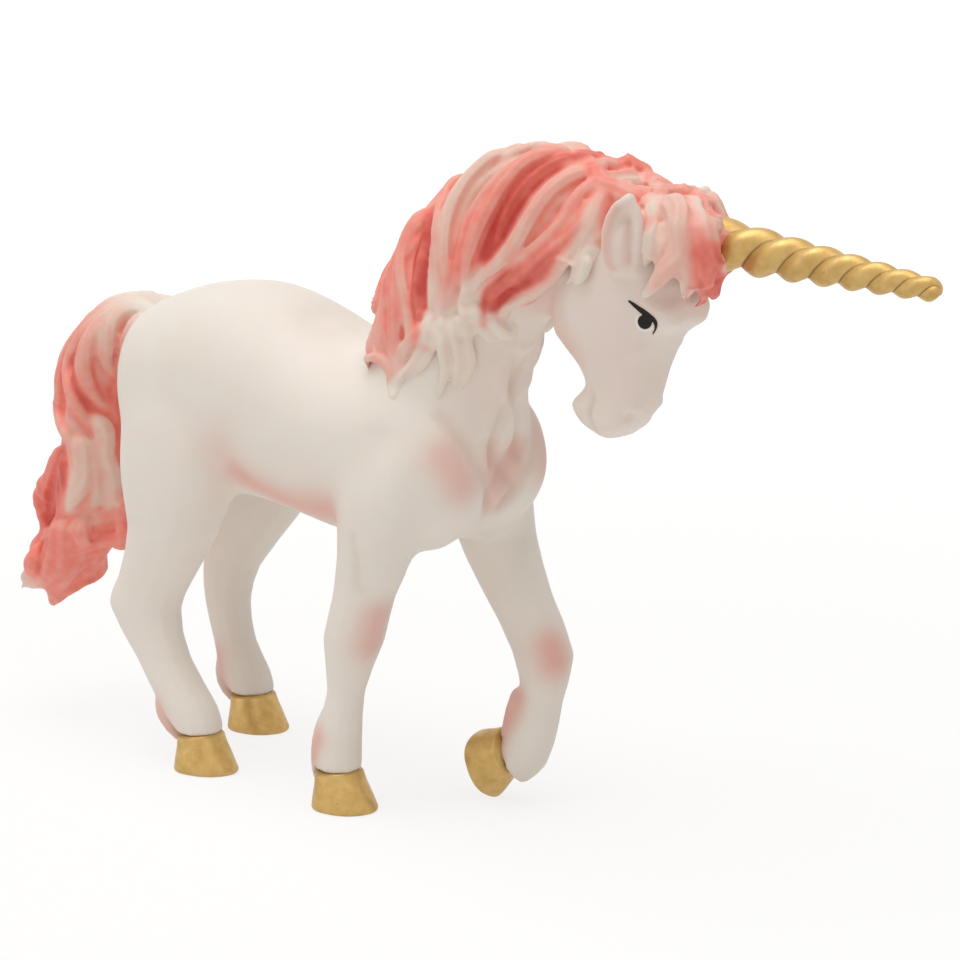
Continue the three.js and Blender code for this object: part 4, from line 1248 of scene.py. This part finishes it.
def hair_piece(name, core, carrier, rows, voxel, rounds, ridge_light_shade, right_rows=()):
    """Strands laid on the core and fused with it, some on the right alone, with paint on the vertices: the
    strands' own tones plus painted highlight and shade by the ridges.
    """
    bm = bmesh.new()
    laid = []
    for row in rows + right_rows:
        route, half_width, lift, *tones = row
        for points, normals, hand in laid_strands(carrier, route):
            if hand > 0 or row not in right_rows:
                middle = add_strand(bm, points, normals, half_width, lift, hand)
                laid.append((middle, half_width, tones))
    sink_bare(core, laid)
    bm.from_mesh(core)
    bmesh.ops.recalc_face_normals(bm, faces=bm.faces)
    mesh = modified(as_mesh(bm, name), voxels(voxel * MM), smoothing(rounds))
    main_island(mesh)
    set_places(mesh, within_box(places_of(mesh)))
    places = places_of(mesh)
    weight = np.full(len(places), BARE_WEIGHT)
    tone = weight * BARE_TONE
    white = np.zeros(len(places))
    for line, half_width, (tone_root, tone_tip, white_root, white_tip) in laid:
        reach = PAINT_WIDTHS * half_width * MM
        inside = (places > line.min(0) - reach) & (places < line.max(0) + reach)
        near = np.nonzero(np.all(inside, axis=1))[0]
        gap, share = along_route(places[near], line)
        cover = np.exp(-PAINT_FADE * (gap / (half_width * MM)) ** 2) / half_width**2
        grown = smooth_step(share, *TONE_RUN)
        weight[near] += cover
        tone[near] += cover * (tone_root + (tone_tip - tone_root) * grown)
        at_root = white_root * (1 - smooth_step(share, *ROOT_RUN))
        at_tip = white_tip * smooth_step(share, *TIP_RUN)
        white[near] += cover * np.maximum(np.maximum(at_root, at_tip), min(white_root, white_tip))
    even = modified(mesh.copy(), smoothing(EVEN_ROUNDS))
    ridge = np.sum((places - places_of(even)) * normals_of(mesh), axis=1) / MM
    bpy.data.meshes.remove(even)
    # Painted highlight on ridges and painted shade in grooves, by their height
    tone = tone / weight - np.clip(ridge * ridge_light_shade, *RIDGE_RANGE)
    set_attribute(mesh, "tone", np.clip(tone, 0, 1))
    set_attribute(mesh, "white", np.clip(white / weight, 0, 1))
    mesh.shade_smooth()
    return mesh


class FIGURINE_OT_mane(bpy.types.Operator):
    """Mane on the crest of the neck"""

    bl_idname = "figurine.mane"
    bl_label = "Mane"

    def execute(self, context):
        SHARED["pink"] = pink_vinyl()
        core = hair_core("mane", voxel=0.35, closing=1.2, rounds=50, shrink=1.3)
        carrier = tree_of(core, SHARED["skin_mesh"])
        mesh = hair_piece(
            "hair_mane", core, carrier, MANE_STRANDS, voxel=0.27, rounds=3, ridge_light_shade=0.8
        )
        add_piece("hair_mane", mesh, SHARED["pink"], "pink_vinyl", "mane")
        return {"FINISHED"}


class FIGURINE_OT_forelock(bpy.types.Operator):
    """Forelock round the horn"""

    bl_idname = "figurine.forelock"
    bl_label = "Forelock"

    def execute(self, context):
        core = hair_core("forelock", voxel=0.3, closing=0.8, rounds=30, shrink=0.9)
        cut_off(core, HORN_ROOT + Vector(FORELOCK_END) * MM, camera_axes()[1])
        bm = opened(core)
        for shift, radius in COLLARS:
            collar = Matrix.Translation(HORN_ROOT + Vector(shift) * MM)
            bmesh.ops.create_uvsphere(bm, u_segments=32, v_segments=16, radius=radius * MM, matrix=collar)
        bm.to_mesh(core)
        bm.free()
        carrier = tree_of(core, SHARED["skin_mesh"])
        mesh = hair_piece(
            "hair_forelock",
            core,
            carrier,
            FORELOCK_STRANDS,
            voxel=0.24,
            rounds=3,
            ridge_light_shade=0.7,
            right_rows=HORN_STRANDS,
        )
        add_piece("hair_forelock", mesh, SHARED["pink"], "pink_vinyl", "forelock")
        return {"FINISHED"}


class FIGURINE_OT_tail(bpy.types.Operator):
    """Tail with its overlapping locks"""

    bl_idname = "figurine.tail"
    bl_label = "Tail"

    def execute(self, context):
        core = hair_core("tail", voxel=0.5, closing=2.2, rounds=200, shrink=0.5)
        cut_off(core, Vector((CAD_BOX[0][0] + TAIL_TIP, 0, 0)), Vector((-1, 0, 0)))
        mesh = hair_piece(
            "hair_tail", core, tree_of(core), TAIL_STRANDS, voxel=0.3, rounds=9, ridge_light_shade=0.7
        )
        add_piece("hair_tail", mesh, SHARED["pink"], "pink_vinyl", "tail")
        return {"FINISHED"}


# Horn and hooves


class FIGURINE_OT_horn(bpy.types.Operator):
    """Rope-twisted horn"""

    bl_idname = "figurine.horn"
    bl_label = "Horn"

    def execute(self, context):
        turns = context.scene.figurine_gilt.turns
        bm = bmesh.new()
        groove_shade = bm.verts.layers.float.new("groove_shade")
        made = bmesh.ops.create_grid(bm, x_segments=HORN_ROUND, y_segments=HORN_STEPS, size=1.0)["verts"]
        for vert in made:
            turn = (vert.co.x + 1) / 2 * math.tau
            share = (vert.co.y + 1) / 2
            reach = share * (1 + HORN_HIDDEN) - HORN_HIDDEN
            nose = math.sqrt(max(0.0, 1 - max(0.0, 1 - (1 - share) / HORN_NOSE) ** 2))
            core = (HORN_BASE + (HORN_TIP - HORN_BASE) * max(0.0, reach)) * nose
            if share == 0:
                core = 0.0
            wind = math.tau * turns * reach * (1 + HORN_TIGHTENING * reach) / (1 + HORN_TIGHTENING)
            across = HORN_APART * math.sin(turn)
            strand = HORN_APART * abs(math.cos(turn)) + math.sqrt((1 - HORN_APART) ** 2 - across**2)
            radius = core * strand
            angle = turn - wind
            vert.co = (HORN_LENGTH * reach, radius * math.cos(angle), radius * math.sin(angle))
            # Painted shade along the crease between the horn's two strands
            vert[groove_shade] = max(0.0, 1 - abs(math.cos(turn)) / GROOVE_WIDTH) * GROOVE_SHADE
        bmesh.ops.remove_doubles(bm, verts=bm.verts, dist=WELD)
        bmesh.ops.recalc_face_normals(bm, faces=bm.faces)
        turn = Matrix.Translation(HORN_ROOT) @ Matrix.Rotation(HORN_DROOP, 4, "Y")
        bmesh.ops.transform(bm, matrix=turn, verts=bm.verts)
        mesh = as_mesh(bm, "horn")
        set_places(mesh, within_box(places_of(mesh), soft=HORN_EASE))
        mesh.shade_smooth()
        SHARED["gold"] = gold_paint()
        add_piece("gilt_horn", mesh, SHARED["gold"], "gold_paint", "horn")
        return {"FINISHED"}


def hoof_mesh(turn, name, rng):
    """A hoof: rings from the sole to the coronet, bridged and capped."""
    bm = bmesh.new()
    groove_shade = bm.verts.layers.float.new("groove_shade")
    rings = []
    shift = rng.uniform(-WEAR_DRAWN, WEAR_DRAWN, size=(4,))[0] * WEAR_SHIFT
    for height, share, inset in HOOF_PROFILE:
        wide, toe, heel = (size + (HOOF_LEDGE - size) * share - inset for size in HOOF_SOLE)
        # Painted shade on the ledge under the leg and on the sole
        painted_shade = LEDGE_SHADE if height > HOOF_LINE else SOLE_SHADE if height < SOLE_LINE else 0.0
        circle = bmesh.ops.create_circle(bm, segments=HOOF_ROUND, radius=1.0)["verts"]
        for vert in circle:
            angle = math.atan2(vert.co.y, vert.co.x)
            reach = toe if math.cos(angle) >= 0 else heel
            worn = 1 + WEAR_WIDE * math.sin(3 * angle + shift) + WEAR_FINE * math.sin(5 * angle + height)
            slope = 1 + HOOF_SLOPE * math.cos(angle)
            vert.co = (reach * math.cos(angle) * worn, wide * math.sin(angle) * worn, height * slope)
            vert[groove_shade] = painted_shade
        rings.append(circle)
    for low, high in zip(rings[:-1], rings[1:]):
        edges = {e for v in low for e in v.link_edges if all(w in low for w in e.verts)}
        edges |= {e for v in high for e in v.link_edges if all(w in high for w in e.verts)}
        bmesh.ops.bridge_loops(bm, edges=list(edges))
    bmesh.ops.holes_fill(bm, edges=[e for e in bm.edges if e.is_boundary], sides=0)
    bmesh.ops.recalc_face_normals(bm, faces=bm.faces)
    bmesh.ops.transform(bm, matrix=turn @ Matrix.Scale(MM, 4), verts=bm.verts)
    return as_mesh(bm, name)


class FIGURINE_OT_hooves(bpy.types.Operator):
    """Four gilt hooves"""

    bl_idname = "figurine.hooves"
    bl_label = "Hooves"

    def execute(self, context):
        rng = np.random.default_rng(2)
        for name in ("right_fore_hoof", "right_hind_hoof", "left_hind_hoof", "left_fore_hoof"):
            low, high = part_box(name)
            turn = Matrix.Translation((high.x - HOOF_TOE, (low.y + high.y) / 2, low.z))
            if name == "left_fore_hoof":
                turn = Matrix.Translation(RAISED_SOLE) @ Matrix.Rotation(RAISED_PITCH, 4, "Y")
            mesh = hoof_mesh(turn, name, rng)
            places = places_of(mesh)
            places[:, 2] = np.maximum(places[:, 2], CAD_BOX[0][2] + SOLE_GAP)
            set_places(mesh, places)
            mesh.shade_smooth()
            add_piece(f"gilt_{name}", mesh, SHARED["gold"], "gold_paint", name)
        return {"FINISHED"}


# Eyes

# One coat's lift off the skin, the paint's thickness, the coats, and the steps of a stroke and a dot
PAINT_LIFT = 0.05 * MM
PAINT_THICK = 0.12 * MM
PUPIL_COATS = 1.6
LASH_COATS = 1.9
RIM_COATS = 1.0
STROKE_STEPS = 39
STROKE_ACROSS = 8
DOT_ROUND = 40


def ribbon(bm, tree, stroke, lift):
    """A painted stroke on the skin, from a line of pixels with half widths."""
    line = np.array([(u, v, 0.0) for u, v, _ in stroke])
    fine = flowing(line, STROKE_STEPS + 1)
    share = np.linspace(0, 1, STROKE_STEPS + 1)
    marks = np.linspace(0, 1, len(stroke))
    half = np.interp(share, marks, [width for _, _, width in stroke])
    along = unit(np.gradient(fine, axis=0))
    made = bmesh.ops.create_grid(bm, x_segments=STROKE_ACROSS, y_segments=STROKE_STEPS, size=1.0)["verts"]
    for vert in made:
        step = round((vert.co.y + 1) / 2 * STROKE_STEPS)
        shift = vert.co.x * half[step]
        u = fine[step][0] - along[step][1] * shift
        v = fine[step][1] + along[step][0] * shift
        point, normal = seen(tree, u, v)
        vert.co = point + normal * lift


def disc(bm, tree, centre, lift):
    """A painted dot on the skin."""
    u0, v0, radius = centre
    bmesh.ops.create_circle(bm, cap_ends=True, cap_tris=True, segments=DOT_ROUND, radius=1.0)
    bmesh.ops.subdivide_edges(bm, edges=bm.edges[:], cuts=3, use_grid_fill=True)
    for vert in bm.verts:
        point, normal = seen(tree, u0 + vert.co.x * radius, v0 + vert.co.y * radius)
        vert.co = point + normal * lift


def mirrored_mesh(mesh, name):
    """A mesh on the other flank."""
    bm = opened(mesh)
    bmesh.ops.transform(bm, matrix=Matrix.Scale(-1, 4, (0, 1, 0)), verts=bm.verts)
    bmesh.ops.recalc_face_normals(bm, faces=bm.faces)
    return as_mesh(bm, name)


class FIGURINE_OT_eyes(bpy.types.Operator):
    """Painted eyes with a lash, a pupil and a white rim"""

    bl_idname = "figurine.eyes"
    bl_label = "Eyes"

    def execute(self, context):
        tree = SHARED["skin"]
        skin = context.scene.figurine_skin
        black = eye_enamel("black_eye_paint", skin.eye, skin.eye_cloud)
        white = eye_enamel("white_eye_paint", skin.rim, skin.rim_cloud)
        strokes = (
            ("pupil", black, disc, PUPIL, PUPIL_COATS),
            ("lash", black, ribbon, LASH, LASH_COATS),
            ("rim", white, ribbon, RIM, RIM_COATS),
        )
        for kind, material, draw, shape, coats in strokes:
            bm = bmesh.new()
            draw(bm, tree, shape, PAINT_LIFT * coats)
            bmesh.ops.recalc_face_normals(bm, faces=bm.faces)
            outward = sum((f.normal for f in bm.faces), Vector())
            if outward.y > 0:
                bmesh.ops.reverse_faces(bm, faces=bm.faces)
            bmesh.ops.solidify(bm, geom=bm.faces[:], thickness=PAINT_THICK)
            bmesh.ops.recalc_face_normals(bm, faces=bm.faces)
            right = as_mesh(bm, f"right_{kind}")
            left = mirrored_mesh(right, f"left_{kind}")
            for name, mesh in ((f"right_eye_{kind}", right), (f"left_eye_{kind}", left)):
                add_piece(name, mesh, material, "white_vinyl")
        return {"FINISHED"}


# Stage

# Half the floor's side, and how far it lies below the soles
FLOOR_HALF = 3.0
FLOOR_DROP = 0.05 * MM


def looked_at(tree):
    """1 for a ray by which the camera sees: straight, mirrored or through glass."""
    path = add_node(tree, "ShaderNodeLightPath").outputs
    rays = path["Is Camera Ray"]
    for kind in ("Is Glossy Ray", "Is Transmission Ray"):
        rays = add_node(
            tree, "ShaderNodeMath", {"operation": "MAXIMUM"}, {0: rays, 1: path[kind]}
        ).outputs[0]
    return rays


def aimed(kind, place, target, name, **settings):
    """A lamp or a camera at a place, looking at a target."""
    data = bpy.data.cameras.new(name) if kind == "CAMERA" else bpy.data.lights.new(name, kind)
    for key, value in settings.items():
        setattr(data, key, value)
    made = bpy.data.objects.new(name, data)
    bpy.context.scene.collection.objects.link(made)
    made.location = place
    made.rotation_euler = (Vector(target) - Vector(place)).to_track_quat("-Z", "Y").to_euler()
    return made


class FIGURINE_OT_stage(bpy.types.Operator):
    """Floor, soft light and camera"""

    bl_idname = "figurine.stage"
    bl_label = "Stage"

    def execute(self, context):
        scene = context.scene
        settings = scene.figurine_stage
        scene.view_settings.view_transform = "Standard"
        place, right, up, ahead = camera_axes()
        optics = {"lens": CAMERA_LENS, "sensor_width": CAMERA_SENSOR, "clip_end": 20}
        scene.camera = aimed("CAMERA", place, CAMERA_AIM, "camera", **optics)
        bm = bmesh.new()
        bmesh.ops.create_grid(bm, x_segments=2, y_segments=2, size=FLOOR_HALF)
        bmesh.ops.translate(bm, verts=bm.verts, vec=(0, 0, -FLOOR_DROP))
        floor = bpy.data.objects.new("floor", as_mesh(bm, "floor"))
        scene.collection.objects.link(floor)
        floor.data.materials.append(self.floor_material(settings))
        self.sky(scene, settings)
        softboxes = (
            ("overhead", Vector((0, 0, 0.75)) - right * 0.12 - ahead * 0.05, settings.key, 0.8),
            ("front", right * 0.25 + up * 0.1 - ahead * 0.8, settings.fill, 0.7),
            ("left", up * 0.2 - right * 0.75 - ahead * 0.25, settings.side, 0.6),
        )
        for name, shift, power, size in softboxes:
            aimed("AREA", CAMERA_AIM + shift, CAMERA_AIM, name, energy=power, shape="DISK", size=size)
        return {"FINISHED"}

    def floor_material(self, settings):
        """Pale board that the camera sees as white with a faint shadow."""
        material = bpy.data.materials.new("pale_board")
        material.use_nodes = True
        tree = material.node_tree
        tree.nodes.clear()
        looked = looked_at(tree)
        place = add_node(tree, "ShaderNodeTexCoord").outputs["Object"]
        away = add_node(tree, "ShaderNodeVectorMath", {"operation": "LENGTH"}, {0: place}).outputs["Value"]
        blank = add_node(
            tree,
            "ShaderNodeMapRange",
            None,
            {"Value": away, "From Min": 0.1, "From Max": 0.4, "To Min": 0.75, "To Max": 1.0},
        ).outputs["Result"]
        share = add_node(tree, "ShaderNodeMath", {"operation": "MULTIPLY"}, {0: looked, 1: blank})
        board = add_node(tree, "ShaderNodeBsdfDiffuse", None, {"Color": rgba(settings.floor)})
        white = add_node(tree, "ShaderNodeEmission", None, {"Color": (1, 1, 1, 1), "Strength": 1.05})
        mixed = add_node(
            tree,
            "ShaderNodeMixShader",
            None,
            {0: share.outputs[0], 1: board.outputs[0], 2: white.outputs[0]},
        )
        add_node(tree, "ShaderNodeOutputMaterial", None, {"Surface": mixed.outputs[0]})
        return material

    def sky(self, scene, settings):
        """White to the camera, and an even light all round."""
        world = bpy.data.worlds.new("studio")
        scene.world = world
        world.use_nodes = True
        tree = world.node_tree
        tree.nodes.clear()
        looked = looked_at(tree)
        lit = add_node(
            tree, "ShaderNodeBackground", None, {"Color": rgba(settings.warmth), "Strength": settings.sky}
        )
        white = add_node(tree, "ShaderNodeBackground", None, {"Color": (1, 1, 1, 1), "Strength": 1.0})
        mixed = add_node(
            tree,
            "ShaderNodeMixShader",
            None,
            {0: looked, 1: lit.outputs[0], 2: white.outputs[0]},
        )
        add_node(tree, "ShaderNodeOutputWorld", None, {"Surface": mixed.outputs[0]})


class FIGURINE_PT_panel(bpy.types.Panel):
    """The figurine's steps"""

    bl_label = "Figurine"
    bl_idname = "FIGURINE_PT_panel"
    bl_space_type = "VIEW_3D"
    bl_region_type = "UI"
    bl_category = "Figurine"

    def draw(self, context):
        for step in STEPS:
            self.layout.operator(step.bl_idname)


STEPS = (
    FIGURINE_OT_skin,
    FIGURINE_OT_mane,
    FIGURINE_OT_forelock,
    FIGURINE_OT_tail,
    FIGURINE_OT_horn,
    FIGURINE_OT_hooves,
    FIGURINE_OT_eyes,
    FIGURINE_OT_stage,
)
SETTINGS = {
    "figurine_skin": SkinSettings,
    "figurine_hair": HairSettings,
    "figurine_gilt": GiltSettings,
    "figurine_stage": StageSettings,
}


def register():
    """Adds the settings, the steps and the panel."""
    for name, group in SETTINGS.items():
        bpy.utils.register_class(group)
        setattr(bpy.types.Scene, name, bpy.props.PointerProperty(type=group))
    for step in (*STEPS, FIGURINE_PT_panel):
        bpy.utils.register_class(step)


def unregister():
    """Takes them away again."""
    for step in (FIGURINE_PT_panel, *reversed(STEPS)):
        bpy.utils.unregister_class(step)
    for name, group in SETTINGS.items():
        delattr(bpy.types.Scene, name)
        bpy.utils.unregister_class(group)


def main():
    """Makes every piece in order."""
    register()
    bpy.ops.figurine.skin()
    bpy.ops.figurine.mane()
    bpy.ops.figurine.forelock()
    bpy.ops.figurine.tail()
    bpy.ops.figurine.horn()
    bpy.ops.figurine.hooves()
    bpy.ops.figurine.eyes()
    bpy.ops.figurine.stage()


if __name__ == "__main__":
    main()
